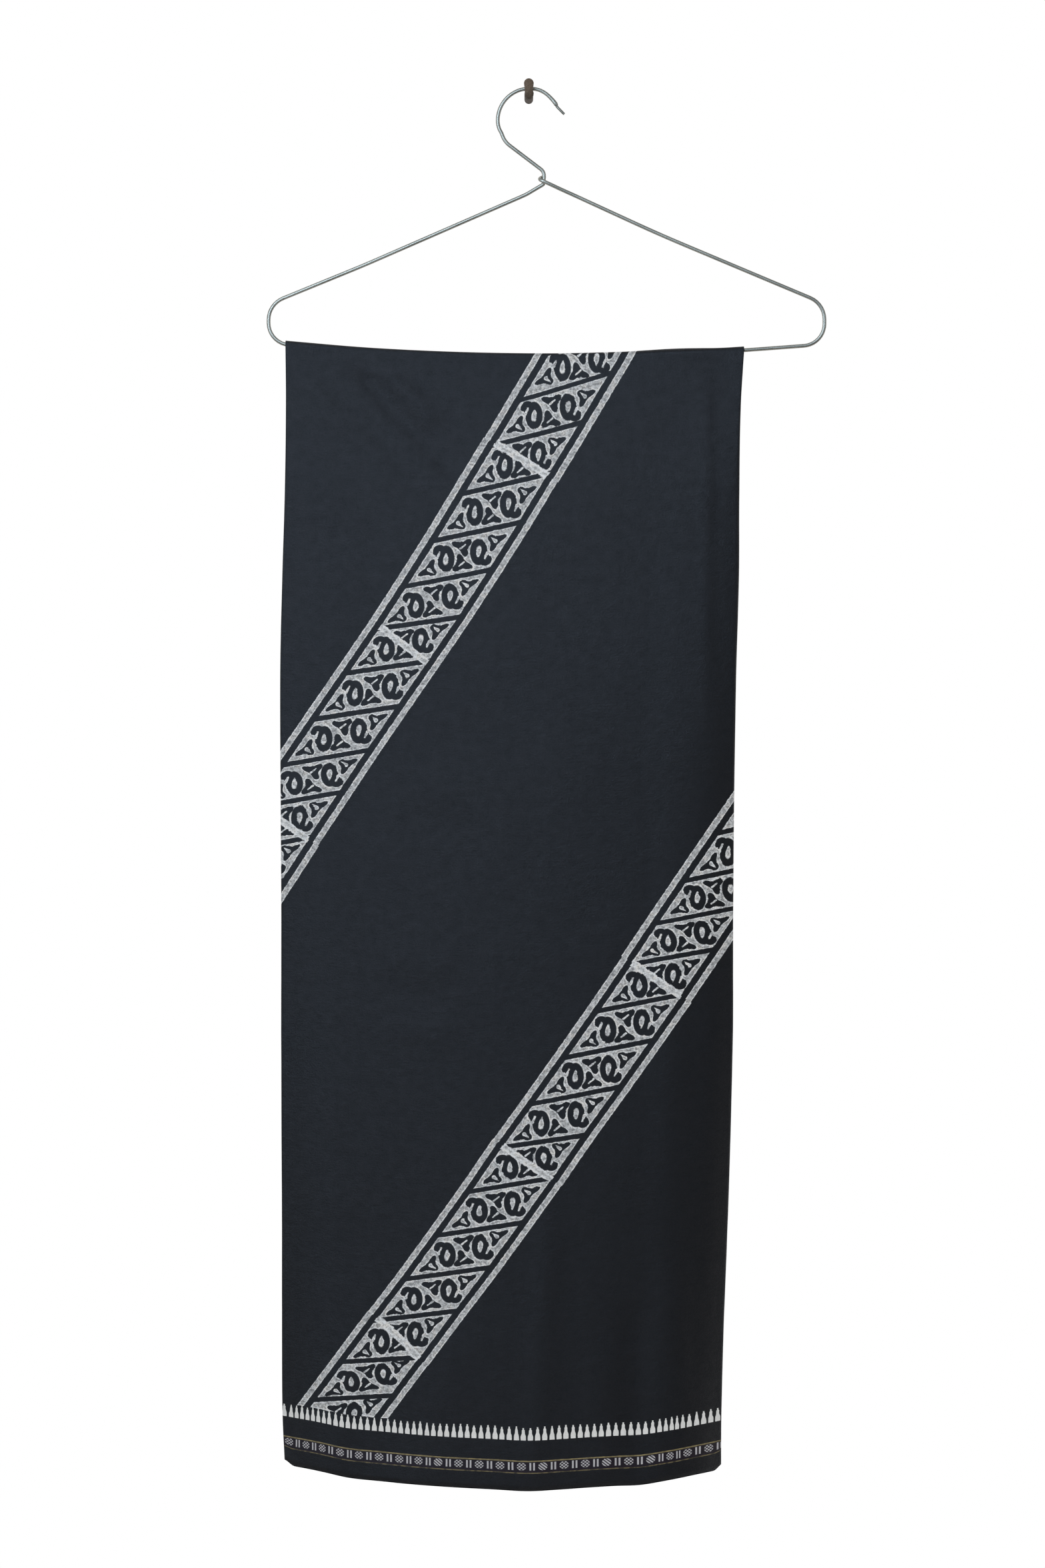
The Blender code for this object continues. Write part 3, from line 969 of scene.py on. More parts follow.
@dataclass(frozen=True)
class Crease:
    """A soft ridge or trough: two ends (x, z) in millimetres, half width and height."""

    start: Pair
    end: Pair
    width: float
    height: float
    # Share of its length over which an end fades, and how far it has faded in at the end itself
    fading: float = 0.3
    begun: float = 0.35

    def lift(self, x: np.ndarray, z: np.ndarray) -> np.ndarray:
        """Its height at places on the hanger's plane, all in millimetres.

        Args:
            x: Places across.
            z: Places up.

        Returns:
            The height at each place.
        """
        run = np.array(self.end) - np.array(self.start)
        long = float(np.hypot(*run))
        u = ((x - self.start[0]) * run[0] + (z - self.start[1]) * run[1]) / long
        w = ((x - self.start[0]) * run[1] - (z - self.start[1]) * run[0]) / long
        faded = self.fading * long
        ends = ease(u / faded + self.begun) * ease((long - u) / faded + self.begun)
        return self.height * ends * np.exp(-((w / self.width) ** 2))


@dataclass(frozen=True)
class Row:
    """One line across the drape: the cloth's back line, which every layer follows."""

    points: np.ndarray
    outward: np.ndarray
    along: np.ndarray
    press: float
    travel: float
    stretch: Stretch

    @property
    def width(self) -> float:
        """Length of the line from fold to fold."""
        return float(self.along[-1])

    def place(self, a: np.ndarray, out: np.ndarray) -> np.ndarray:
        """Points beside the back line.

        Args:
            a: Distances along it.
            out: Distances out from it.

        Returns:
            One point for each.
        """
        held = np.clip(a, 0.0, self.width)
        base = np.stack([np.interp(held, self.along, self.points[:, k]) for k in range(3)], axis=1)
        way = np.stack([np.interp(held, self.along, self.outward[:, k]) for k in range(3)], axis=1)
        return base + way * out[:, None]


@dataclass(frozen=True)
class Drape:
    """How the folded cloth hangs, on the form of the part's own solids, with finer tables.

    Sizes are in metres, and the tables in millimetres.
    """

    front_drop: float = 816.0 * MM
    back_drop: float = 365.0 * MM
    bar_corner: Pair = (0.7 * MM, -197.0 * MM)
    bar_reach: float = 169.8 * MM
    bar_slopes: Pair = (-0.0885, 0.0747)
    wall: float = 0.18 * MM
    bar_clearance: float = WIRE_RADIUS + 0.1 * MM
    fall_clearance: float = 0.35 * MM
    closing: float = 85.0 * MM
    pressing: float = 110.0 * MM
    puff_from: float = 10.0 * MM
    puff_length: float = 55.0 * MM
    crest_forward: float = 13.0 * MM
    sag_power: int = 3
    bend_power: float = 0.9
    bend_start: float = 0.15
    samples: int = 160
    # Soft unevenness: widths with their heights in millimetres, random starts and stretch upwards
    unevenness: Table = ((95.0, 0.8), (34.0, 0.28), (13.0, 0.1))
    front_start: float = 7.3
    back_start: float = 41.9
    upward: float = 0.7
    relief_from: float = 26.0 * MM
    # Share of the front drop, then the left and right folds' x
    edges: tuple[Triple, ...] = (
        (0.00, -176.8, 156.4), (0.05, -176.4, 153.9), (0.13, -176.8, 152.3), (0.20, -178.3, 151.8),
        (0.30, -179.8, 149.1), (0.50, -178.7, 146.6), (0.62, -178.6, 145.9), (0.76, -177.8, 142.4),
        (0.88, -177.7, 138.6), (0.95, -177.0, 136.9), (1.00, -175.4, 136.5),
    )
    # Share across, then how much lower than a level cut the hem hangs there
    hem_sag: Table = (
        (0.00, -0.4), (0.06, 0.3), (0.10, 1.4), (0.15, 3.5), (0.22, 4.0), (0.28, 4.5), (0.40, 5.1),
        (0.48, 5.6), (0.56, 6.6), (0.64, 5.5), (0.70, 4.6), (0.76, 4.2), (0.82, 4.5), (0.88, 2.4),
        (0.94, 0.3), (1.00, -0.8),
    )
    # Place across, then the extra height of the stack where it lies on the bar
    crown: Table = (
        (-177.0, 0.0), (20.0, 0.0), (70.0, 0.5), (100.0, 1.5), (128.0, 2.4), (148.0, 1.7),
        (157.0, 0.8),
    )
    # Share across, then how far the hem bends back from crest_forward
    hem_section: Table = (
        (0.000, 33.0), (0.087, 21.0), (0.148, 15.5), (0.270, 9.4), (0.393, 4.8), (0.480, 2.8),
        (0.562, 2.2), (0.640, 2.9), (0.722, 4.8), (0.800, 7.6), (0.870, 11.0), (0.942, 20.5),
        (1.000, 35.0),
    )
    # Distance of each layer from the back line, hanging free and pressed on the bar
    free_middle: tuple[float, ...] = (0.0, 1.12, 2.24, 3.36, 4.48, 5.6)
    free_left: tuple[float, ...] = (0.0, 1.0, 3.4, 4.4, 4.8, 7.6)
    free_right: tuple[float, ...] = (0.0, 1.4, 2.8, 3.9, 6.5, 7.6)
    pressed_middle: tuple[float, ...] = (0.0, 0.2, 0.4, 0.6, 0.8, 1.0)
    pressed_left: tuple[float, ...] = (0.0, 0.2, 0.6, 0.8, 1.0, 1.4)
    pressed_right: tuple[float, ...] = (0.0, 0.2, 0.4, 0.6, 1.0, 1.2)
    front_creases: tuple[Crease, ...] = (
        Crease((128, -190), (127, -450), 6.0, 0.5),
        Crease((138, -200), (134, -420), 6.0, -0.3),
        Crease((-128, -196), (-52, -278), 7.0, -2.3),
        Crease((-112, -190), (-66, -240), 6.5, 1.9),
        Crease((-166, -204), (-92, -286), 7.5, 1.6),
        Crease((-176, -318), (-100, -330), 18.0, -0.6),
        Crease((30, -192), (4, -262), 8.0, 0.5),
        Crease((72, -190), (86, -250), 7.0, 0.5),
        Crease((-92, -500), (-40, -508), 12.0, 0.35),
        Crease((-98, -527), (-34, -535), 12.0, -0.35),
        Crease((-108, -628), (-52, -632), 11.0, 0.35),
        Crease((-112, -651), (-58, -657), 11.0, -0.35),
        Crease((-108, -683), (-48, -678), 12.0, 0.3),
        Crease((-40, -330), (60, -520), 26.0, 0.6),
        Crease((-20, -560), (96, -700), 24.0, -0.6),
        Crease((118, -600), (120, -980), 12.0, -0.9),
        Crease((53, -905), (53, -1010), 12.0, 0.8),
        Crease((76, -880), (77, -1010), 12.0, -0.9),
        Crease((104, -850), (107, -1010), 11.0, 1.2),
        Crease((-60, -900), (-63, -1010), 14.0, 0.9),
        Crease((-100, -915), (-103, -1010), 12.0, -0.9),
        Crease((-136, -920), (-140, -1010), 10.0, 1.1),
        Crease((14, -800), (4, -1010), 10.0, 1.0),
    )
    back_creases: tuple[Crease, ...] = (
        Crease((-128, -190), (-131, -460), 4.0, 1.0),
        Crease((104, -196), (52, -300), 6.0, -0.9),
        Crease((86, -192), (44, -270), 5.0, 0.7),
        Crease((-40, -380), (-44, -556), 10.0, 1.5),
        Crease((-84, -400), (-80, -556), 9.0, -1.4),
        Crease((30, -420), (32, -556), 12.0, 1.2),
        Crease((86, -430), (90, -556), 10.0, -1.0),
    )

    def bar_height(self, x: np.ndarray) -> np.ndarray:
        """Height of the wire's centre where it carries the cloth, along its slight sag.

        Args:
            x: Places across.

        Returns:
            The height at each place.
        """
        left, right = self.bar_slopes
        u = x - self.bar_corner[0]
        bent = np.clip(u + self.bar_reach, 0.0, 2 * self.bar_reach)
        start = self.bar_corner[1] - left * self.bar_reach
        curve = start + left * bent + (right - left) * bent**2 / (4 * self.bar_reach)
        return curve + left * np.minimum(u + self.bar_reach, 0) + right * np.maximum(u - self.bar_reach, 0)

    def row(self, stretch: Stretch, travel: float, angle: float = 0.0) -> Row:
        """One line across the drape.

        Args:
            stretch: The fall or the bar.
            travel: Distance down the fall.
            angle: Turn over the bar, 0 at the front.

        Returns:
            The row.
        """
        drop = 0.0 if stretch is Stretch.BAR else travel
        share = drop / self.front_drop
        keys = [edge[0] for edge in self.edges]
        left = float(smooth_through(keys, [e[1] for e in self.edges], np.array([share]))[0]) * MM
        right = float(smooth_through(keys, [e[2] for e in self.edges], np.array([share]))[0]) * MM
        s = np.linspace(0.0, 1.0, self.samples + 1)
        bar_x = lerp(self.edges[0][1] * MM, self.edges[0][2] * MM, s)
        bend_keys, bends = zip(*self.hem_section)
        growth = max(share, 0.0) ** self.bend_power * float(ease(share / self.bend_start))
        bend = growth * (smooth_through(bend_keys, bends, s) * MM - self.crest_forward)
        closing = (self.bar_clearance - self.fall_clearance) * float(ease(drop / self.closing))
        way = np.array([0.0, -math.cos(angle), math.sin(angle)])
        if stretch is not Stretch.BAR:
            way = np.array([0.0, -float(stretch.value), 0.0])
        sag = smooth_through(*zip(*self.hem_sag), s) * MM * max(share, 0.0) ** self.sag_power
        x, z = lerp(left, right, s), self.bar_height(bar_x) - drop - sag
        points = np.stack([x, HANGER_Y + bend, z], axis=1) + way * (self.bar_clearance - closing)
        steps = np.hypot(np.diff(points[:, 0]), np.diff(points[:, 1]))
        along = np.concatenate([[0.0], np.cumsum(steps)])
        outward = np.tile(way, (len(s), 1))
        if stretch is not Stretch.BAR:
            run = np.gradient(points[:, :2], axis=0)
            run /= np.linalg.norm(run, axis=1)[:, None]
            outward = np.stack([run[:, 1], -run[:, 0], np.zeros(len(s))], axis=1) * float(stretch.value)
        relief = self.relief(stretch, points[:, 0] / MM, points[:, 2] / MM, drop) * MM
        points = points + outward * relief[:, None]
        press = 1.0 - float(ease(drop / self.pressing))
        return Row(points, outward, along, press, travel, stretch)

    def relief(self, stretch: Stretch, x: np.ndarray, z: np.ndarray, drop: float) -> np.ndarray:
        """How far creases and soft unevenness lift the cloth.

        Args:
            stretch: The fall or the bar.
            x: Places across, millimetres.
            z: Places up, millimetres.
            drop: Distance down the fall, metres.

        Returns:
            The lift at each place, millimetres.
        """
        if stretch is Stretch.BAR:
            return np.zeros(len(x))
        creases, start = self.back_creases, self.back_start
        if stretch is Stretch.FRONT:
            creases, start = self.front_creases, self.front_start
        total = sum(crease.lift(x, z) for crease in creases)
        for width, height in self.unevenness:
            at = [Vector((px / width, start + width, pz / width * self.upward)) for px, pz in zip(x, z)]
            total = total + height * np.array([noise.noise(place) for place in at])
        return total * float(ease(drop / self.relief_from))

    def layer_out(self, row: Row, layer: Layer, a: np.ndarray) -> np.ndarray:
        """Distance of a layer from the back line.

        Args:
            row: The row it is on.
            layer: The layer.
            a: Distances along the back line.

        Returns:
            The distance at each place, metres.
        """
        k = layer.value
        x = np.interp(a, row.along, row.points[:, 0]) / MM
        crown = np.interp(x, *zip(*self.crown)) * k / Layer.SHOWN.value
        middle = lerp(self.free_middle[k], self.pressed_middle[k], row.press) + crown * row.press
        left = lerp(self.free_left[k], self.pressed_left[k], row.press)
        right = lerp(self.free_right[k], self.pressed_right[k], row.press)
        left_puff = 1 - ease((a - self.puff_from) / self.puff_length)
        right_puff = 1 - ease((row.width - a - self.puff_from) / self.puff_length)
        return (middle + (left - middle) * left_puff + (right - middle) * right_puff) * MM


@dataclass(frozen=True)
class BandGuide:
    """Where one printed band runs on the shown face.

    Each row is the height, the band's middle, the slope of its cell divider and the divider's
    number, in millimetres on the hanger's plane.
    """

    lean: float
    rows: tuple[tuple[float, float, float, float], ...]

    def read(self, x: np.ndarray, z: np.ndarray) -> tuple[np.ndarray, np.ndarray, np.ndarray]:
        """Where points lie on the band.

        Args:
            x: Places across, millimetres.
            z: Places up, millimetres.

        Returns:
            Distance across the band, place along it in cells, and the divider's slope.
        """
        heights = np.array([-row[0] for row in self.rows])
        middle = self._extend(heights, np.array([row[1] for row in self.rows]), -z)
        slope = np.interp(-z, heights, [row[2] for row in self.rows])
        across = x - middle
        level = -z + slope * across
        cells = self._extend(heights, np.array([row[3] for row in self.rows]), level)
        return across, cells, slope

    @staticmethod
    def _extend(keys: np.ndarray, values: np.ndarray, at: np.ndarray) -> np.ndarray:
        """Interpolate, and go on straight beyond both ends.

        Args:
            keys: Rising places.
            values: The value at each place.
            at: The places to read.

        Returns:
            The value at each of them.
        """
        inner = np.interp(at, keys, values)
        first = (values[1] - values[0]) / (keys[1] - keys[0])
        last = (values[-1] - values[-3]) / (keys[-1] - keys[-3])
        inner = np.where(at < keys[0], values[0] + (at - keys[0]) * first, inner)
        return np.where(at > keys[-1], values[-1] + (at - keys[-1]) * last, inner)


UPPER_BAND = BandGuide(
    0.6325,
    (
        (-212.2, 26.0, 0.38, 1), (-246.6, 5.4, 0.30, 2), (-282.4, -16.3, 0.27, 3),
        (-317.3, -37.4, 0.247, 4), (-351.2, -58.9, 0.227, 5), (-383.7, -80.0, 0.15, 6),
        (-415.6, -101.9, 0.16, 7), (-448.8, -124.9, 0.17, 8), (-481.5, -147.3, 0.2, 9),
        (-512.1, -167.6, 0.2, 10), (-545.0, -189.4, 0.2, 11), (-576.5, -209.8, 0.2, 12),
    ),
)
LOWER_BAND = BandGuide(
    0.7182,
    (
        (-528.5, 170.6, 0.3, -1), (-564.4, 146.0, 0.25, 0), (-595.9, 124.6, 0.23, 1),
        (-626.4, 104.1, 0.2, 2), (-659.6, 81.4, 0.23, 3), (-693.5, 57.6, 0.23, 4),
        (-727.4, 33.5, 0.23, 5), (-760.8, 9.3, 0.16, 6), (-791.9, -12.0, 0.19, 7),
        (-824.3, -35.2, 0.17, 8), (-856.5, -58.7, 0.153, 9), (-887.3, -82.3, 0.13, 10),
        (-919.3, -106.2, 0.057, 11), (-946.7, -126.8, 0.055, 12), (-977.2, -149.7, 0.055, 13),
    ),
)
# Place across on the hanger's plane, millimetres, and the number of the border's spire there
SPIRE_GUIDE = (
    (-172.7, 0), (-145.1, 7), (-122.3, 12), (-97.6, 17), (-69.5, 23), (-44.8, 28), (-19.6, 33),
    (6.5, 38), (32.2, 43), (57.9, 48), (85.0, 53), (95.2, 55), (103.9, 57), (111.7, 59),
    (121.8, 61), (137.4, 64),
)


@dataclass(frozen=True)
class PrintPlace:
    """Where points lie on the print: period, cell, divider's slope, band's lean and metres of border."""

    period: np.ndarray
    cell: np.ndarray
    slope: np.ndarray
    lean: np.ndarray
    border: np.ndarray

    def maps(self) -> dict[str, np.ndarray]:
        """The coordinates by the names of their UV maps."""
        pairs = (self.period, self.cell), (self.slope, self.lean), (self.border, np.zeros(len(self.border)))
        return {name: np.stack(pair, axis=1) for name, pair in zip(("Bands", "Slant", "Border"), pairs)}


@dataclass(frozen=True)
class Print:
    """Lays the printed bands on the cloth: guided on the shown front, regular everywhere else."""

    lean: float = 0.6325
    top_x: float = 34.0
    top_z: float = -199.0
    top_cell: float = 0.6
    slope: float = 0.24

    def guided(self, x: np.ndarray, z: np.ndarray) -> PrintPlace:
        """Places on the shown front.

        Args:
            x: Places across on the hanger's plane, millimetres.
            z: Places up, millimetres.

        Returns:
            The places on the print.
        """
        upper, lower = UPPER_BAND.read(x, z), LOWER_BAND.read(x, z)
        pick = np.abs(upper[0]) < np.abs(lower[0])
        across, cells, slope = (np.where(pick, one, two) for one, two in zip(upper, lower))
        period = across * MM / BAND_PERIOD + np.where(pick, 0.0, 1.0)
        lean = np.where(pick, UPPER_BAND.lean, LOWER_BAND.lean)
        border = np.interp(x, *zip(*SPIRE_GUIDE))
        (first_x, _), (last_x, last) = SPIRE_GUIDE[0], SPIRE_GUIDE[-1]
        border = np.where(x < first_x, (x - first_x) * MM / SPIRE_PITCH, border)
        border = np.where(x > last_x, last + (x - last_x) * MM / SPIRE_PITCH, border)
        return PrintPlace(period, cells, slope, lean, border * SPIRE_PITCH)

    def regular(self, x: np.ndarray, z: np.ndarray) -> PrintPlace:
        """Places elsewhere.

        Args:
            x: Places across on the cloth rolled out flat, millimetres.
            z: Places up, millimetres.

        Returns:
            The places on the print.
        """
        across = x - (self.top_x + (z - self.top_z) * self.lean)
        period = across * MM / BAND_PERIOD
        local = (period - np.floor(period + 0.5)) * BAND_PERIOD / MM
        cells = (self.top_z - z + self.slope * local) / (CELL_PITCH / MM) + self.top_cell
        slope, lean = (np.full(len(x), same) for same in (self.slope, self.lean))
        return PrintPlace(period, cells, slope, lean, x * MM)


@dataclass
class Line:
    """One line of a sheet: places across and out, and the cloth's own coordinate along it."""

    a: np.ndarray
    out: np.ndarray
    across: np.ndarray


@dataclass
class FoldedCloth:
    """The folded veshti: the shown stretch, the hidden stretches and the rear stretch."""

    drape: Drape = Drape()
    printing: Print = Print()
    # How far the shown and rear stretches turn in, and the gap there to the hidden ones
    tail: float = 7.0 * MM
    left_back_tail: float = 9.0 * MM
    gap: float = 0.2 * MM
    # How far the hidden folds stay inside the outline, right and left
    insets: Pair = (1.1 * MM, 1.2 * MM)
    cut_hidden: float = 1.0 * MM
    cut_rear: float = 2.0 * MM
    # The narrow hem along the cut end: its width, and its lift as a size and as a share of the room
    hem_width: float = 5.0 * MM
    hem_lift: float = 0.62 * MM
    hem_share: float = 0.4
    hem_least: float = 0.1 * MM
    # The hem's corners rise a little beside each fold
    corner_rise: float = 3.6 * MM
    corner_reach: float = 9.0 * MM
    corner_height: float = 22.0 * MM
    # How far out of the wire the cloth's middle turns over the bar
    stack: float = 1.0 * MM
    # Columns of faces in a fold, in what turns in behind it, in each stretch and in the narrow hem
    nose_steps: int = 7
    tail_steps: int = 3
    shown_steps: int = 104
    hidden_steps: int = 30
    rear_steps: int = 84
    hem_steps: int = 4
    # Rows down the front, over the bar and down the back, closer near the bar
    shown_rows: Counts = (240, 10, 108)
    hidden_rows: Counts = (90, 8, 44)
    rear_rows: Counts = (180, 8, 84)
    row_growth: float = 1.12
    hidden_above_hem: float = 2.2 * MM
    rear_above_hem: float = 1.2 * MM
    # How far columns are drawn towards the folds, and from where to where the bar carries the cloth
    crowding: float = 0.45
    bar_ends: Pair = (-0.177, 0.157)

    def nose(self, row: Row, front: Layer, rear: Layer, edge: Edge, inset: float) -> Run:
        """A folded edge as an arc from its front layer round to its rear layer.

        Args:
            row: The row it is on.
            front: The layer it comes from.
            rear: The layer it goes to.
            edge: Which side it is on.
            inset: How far it stays inside the side's outline.

        Returns:
            Places across and out, from front to rear.
        """
        side = np.array([0.0 if edge is Edge.LEFT else row.width])
        high = float(self.drape.layer_out(row, front, side)[0])
        low = float(self.drape.layer_out(row, rear, side)[0])
        radius = (high - low) / 2
        centre = inset + radius if edge is Edge.LEFT else row.width - inset - radius
        turn = np.linspace(math.pi / 2, -math.pi / 2, self.nose_steps + 1)
        sign = -1.0 if edge is Edge.LEFT else 1.0
        return centre + sign * radius * np.cos(turn), (high + low) / 2 + radius * np.sin(turn)

    def flat(self, row: Row, layer: Layer, start: float, end: float, count: int) -> Run:
        """A layer between two places across, with closer columns towards the folds.

        Args:
            row: The row it is on.
            layer: The layer.
            start: The first place across.
            end: The last place across.
            count: How many columns lie between them.

        Returns:
            Places across and out.
        """
        t = np.linspace(0.0, 1.0, count + 1)
        t = lerp(t, 0.5 - 0.5 * np.cos(np.pi * t), self.crowding)
        a = lerp(start, end, t)
        return a, self.drape.layer_out(row, layer, a)

    @staticmethod
    def joined(parts: list[Run]) -> Run:
        """Several runs of points as one, without the repeated joints."""
        first, *others = parts
        return tuple(np.concatenate([first[k]] + [part[k][1:] for part in others]) for k in range(2))

    def shown_line(self, row: Row) -> Line:
        """The shown stretch: a little of the layer behind, fold, whole face, fold, a little behind.

        Args:
            row: The row it is on.

        Returns:
            The line.
        """
        left = self.nose(row, Layer.SHOWN, Layer.FIRST_REAR, Edge.LEFT, 0.0)
        right = self.nose(row, Layer.SHOWN, Layer.SECOND_FRONT, Edge.RIGHT, 0.0)
        left = (left[0][::-1], left[1][::-1])
        parts = [
            self.flat(row, Layer.FIRST_REAR, self.tail, left[0][0], self.tail_steps),
            left,
            self.flat(row, Layer.SHOWN, left[0][-1], right[0][0], self.shown_steps),
            right,
            self.flat(row, Layer.SECOND_FRONT, right[0][-1], row.width - self.tail, self.tail_steps),
        ]
        return self.measured(self.joined(parts), self.tail_steps + self.nose_steps)

    def hidden_lines(self, row: Row) -> list[Line]:
        """The four hidden layers: two long U shapes, one folded at the right and one at the left.

        Args:
            row: The row they are on.

        Returns:
            The line of each U shape.
        """
        count, tail, back_tail = self.hidden_steps, self.tail + self.gap, self.left_back_tail + self.gap
        right = self.nose(row, Layer.FIRST_REAR, Layer.SECOND_REAR, Edge.RIGHT, self.insets[0])
        left = self.nose(row, Layer.SECOND_FRONT, Layer.THIRD_FRONT, Edge.LEFT, self.insets[1])
        first = [
            self.flat(row, Layer.FIRST_REAR, tail, right[0][0], count),
            right,
            self.flat(row, Layer.SECOND_REAR, right[0][-1], back_tail, count),
        ]
        second = [
            self.flat(row, Layer.SECOND_FRONT, row.width - tail, left[0][0], count),
            left,
            self.flat(row, Layer.THIRD_FRONT, left[0][-1], row.width - self.cut_hidden, count),
        ]
        lines = [self.measured(self.joined(part), 0) for part in (first, second)]
        lines[0].across = -self.tail - lines[0].across
        lines[1].across = row.width + self.tail + lines[1].across
        return lines

    def rear_line(self, row: Row) -> Line:
        """The rear stretch: fold at the left, whole back layer, and the narrow hem of its cut end.

        Args:
            row: The row it is on.

        Returns:
            The line.
        """
        left = self.nose(row, Layer.SECOND_REAR, Layer.REAR, Edge.LEFT, 0.0)
        end = row.width - self.cut_rear
        parts = [
            self.flat(row, Layer.SECOND_REAR, self.left_back_tail, left[0][0], self.tail_steps),
            left,
            self.flat(row, Layer.REAR, left[0][-1], end, self.rear_steps),
        ]
        a, out = self.joined(parts)
        room = float(self.drape.layer_out(row, Layer.THIRD_FRONT, np.array([end]))[0])
        lift = min(self.hem_lift, self.hem_share * room + self.hem_least)
        turn = np.linspace(-math.pi / 2, math.pi / 2, self.hem_steps + 1)[1:]
        a = np.concatenate([a, end + lift / 2 * np.cos(turn), [end - self.hem_width]])
        out = np.concatenate([out, lift / 2 + lift / 2 * np.sin(turn), [lift]])
        line = self.measured((a, out), self.tail_steps + self.nose_steps)
        line.across = -2 * row.width - line.across
        return line

    @staticmethod
    def measured(run: Run, zero_at: int) -> Line:
        """Give a run of points the cloth's own coordinate.

        Args:
            run: Places across and out.
            zero_at: The number of the point where the coordinate is 0.

        Returns:
            The line.
        """
        a, out = run
        steps = np.hypot(np.diff(a), np.diff(out))
        across = np.concatenate([[0.0], np.cumsum(steps)])
        return Line(a, out, across - across[zero_at])

    def falls(self, drop: float, count: int) -> list[float]:
        """Distances down a fall for this many rows, closer near the bar."""
        return [drop * (k / count) ** self.row_growth for k in range(1, count + 1)]

    def rows(self, counts: Counts, above_hem: float = 0.0) -> list[Row]:
        """Rows from the back hem up, over the bar and down to the front hem.

        Args:
            counts: How many lie down the front, over the bar and down the back.
            above_hem: How far above the hem they end.

        Returns:
            The rows.
        """
        front, bar, back = counts
        drape = self.drape
        made = [drape.row(Stretch.BACK, d) for d in reversed(self.falls(drape.back_drop - above_hem, back))]
        made += [drape.row(Stretch.BAR, 0.0, math.pi * k / bar) for k in range(bar, -1, -1)]
        return made + [drape.row(Stretch.FRONT, d) for d in self.falls(drape.front_drop - above_hem, front)]

    def sheet_mesh(
        self, name: str, rows: list[Row], lines: list[Line], guided: bool, turned: bool
    ) -> bpy.types.Mesh:
        """A thin sheet through lines of points, with the cloth's and the bands' coordinates.

        Args:
            name: The mesh's name.
            rows: The rows that the lines follow.
            lines: One line for each row.
            guided: Whether the print follows the shown face's guides.
            turned: Whether faces look to the other side.

        Returns:
            The mesh.
        """
        drape = self.drape
        grid: list[np.ndarray] = []
        maps: dict[str, list[np.ndarray]] = {label: [] for label in ("Cloth", "Bands", "Slant", "Border")}
        bar_turn = drape.bar_clearance + self.stack
        over_bar = drape.front_drop + math.pi * bar_turn
        whole = over_bar + drape.back_drop
        for row, line in zip(rows, lines):
            place = row.place(line.a, line.out)
            if row.stretch is not Stretch.BAR:
                drop = drape.front_drop if row.stretch is Stretch.FRONT else drape.back_drop
                near = ease(1 - (drop - row.travel) / self.corner_height)
                side = np.minimum(line.a, row.width - line.a)
                place[:, 2] += self.corner_rise * near * (1 - ease(side / self.corner_reach))
            grid.append(place)
            angle = 0.0
            if row.stretch is Stretch.BAR:
                angle = math.atan2(float(row.outward[0][2]), -float(row.outward[0][1]))
            up = {
                Stretch.FRONT: drape.front_drop - row.travel,
                Stretch.BAR: drape.front_drop + angle * bar_turn,
                Stretch.BACK: over_bar + row.travel,
            }[row.stretch]
            height = np.full(len(line.a), up * CLOTH_WIDTH / whole)
            maps["Cloth"].append(np.stack([line.across, height], axis=1))
            for label, places in self.print_places(row, line, place, up, guided).maps().items():
                maps[label].append(places)
        return build_sheet(name, grid, maps, turned)

    def print_places(self, row: Row, line: Line, place: np.ndarray, up: float, guided: bool) -> PrintPlace:
        """Where the points of one line lie on the print.

        Args:
            row: The row that the line follows.
            line: The line.
            place: Its points.
            up: The row's distance from the front hem along the cloth.
            guided: Whether the print follows the shown face's guides.

        Returns:
            The places.
        """
        across, past_top = line.across, up - self.drape.front_drop
        if not guided:
            x = across + self.drape.edges[0][1] * MM
            z = self.drape.bar_corner[1] + past_top
            return self.printing.regular(x / MM, np.full(len(x), z / MM))
        eye = np.array(CAMERA_AT)
        drawn = eye + (place - eye) * (VIEW_DISTANCE / (place[:, 1] - eye[1])[:, None])
        left, right = np.interp((0.0, row.width), across, drawn[:, 0])
        x = np.where(across < 0, left + across, drawn[:, 0])
        x = np.where(across > row.width, right + across - row.width, x)
        if row.stretch is Stretch.FRONT:
            return self.printing.guided(x / MM, drawn[:, 2] / MM)
        z = self.drape.bar_height(np.clip(place[:, 0], *self.bar_ends)) + past_top
        return self.printing.guided(x / MM, z / MM)

    def dress(
        self, mesh: bpy.types.Mesh, finishes: list[bpy.types.Material], node: str
    ) -> bpy.types.Object:
        """Turn a sheet's mesh into a piece with the cloth's thickness.

        Args:
            mesh: The sheet.
            finishes: Its materials, in the order of the zones.
            node: The CAD node that it stands for.

        Returns:
            The piece.
        """
        piece = placed(mesh.name, mesh)
        wall = piece.modifiers.new("cloth_thickness", "SOLIDIFY")
        wall.thickness = self.drape.wall
        wall.offset = 0.0
        wall.use_even_offset = True
        return stand_in(piece, finishes, node)

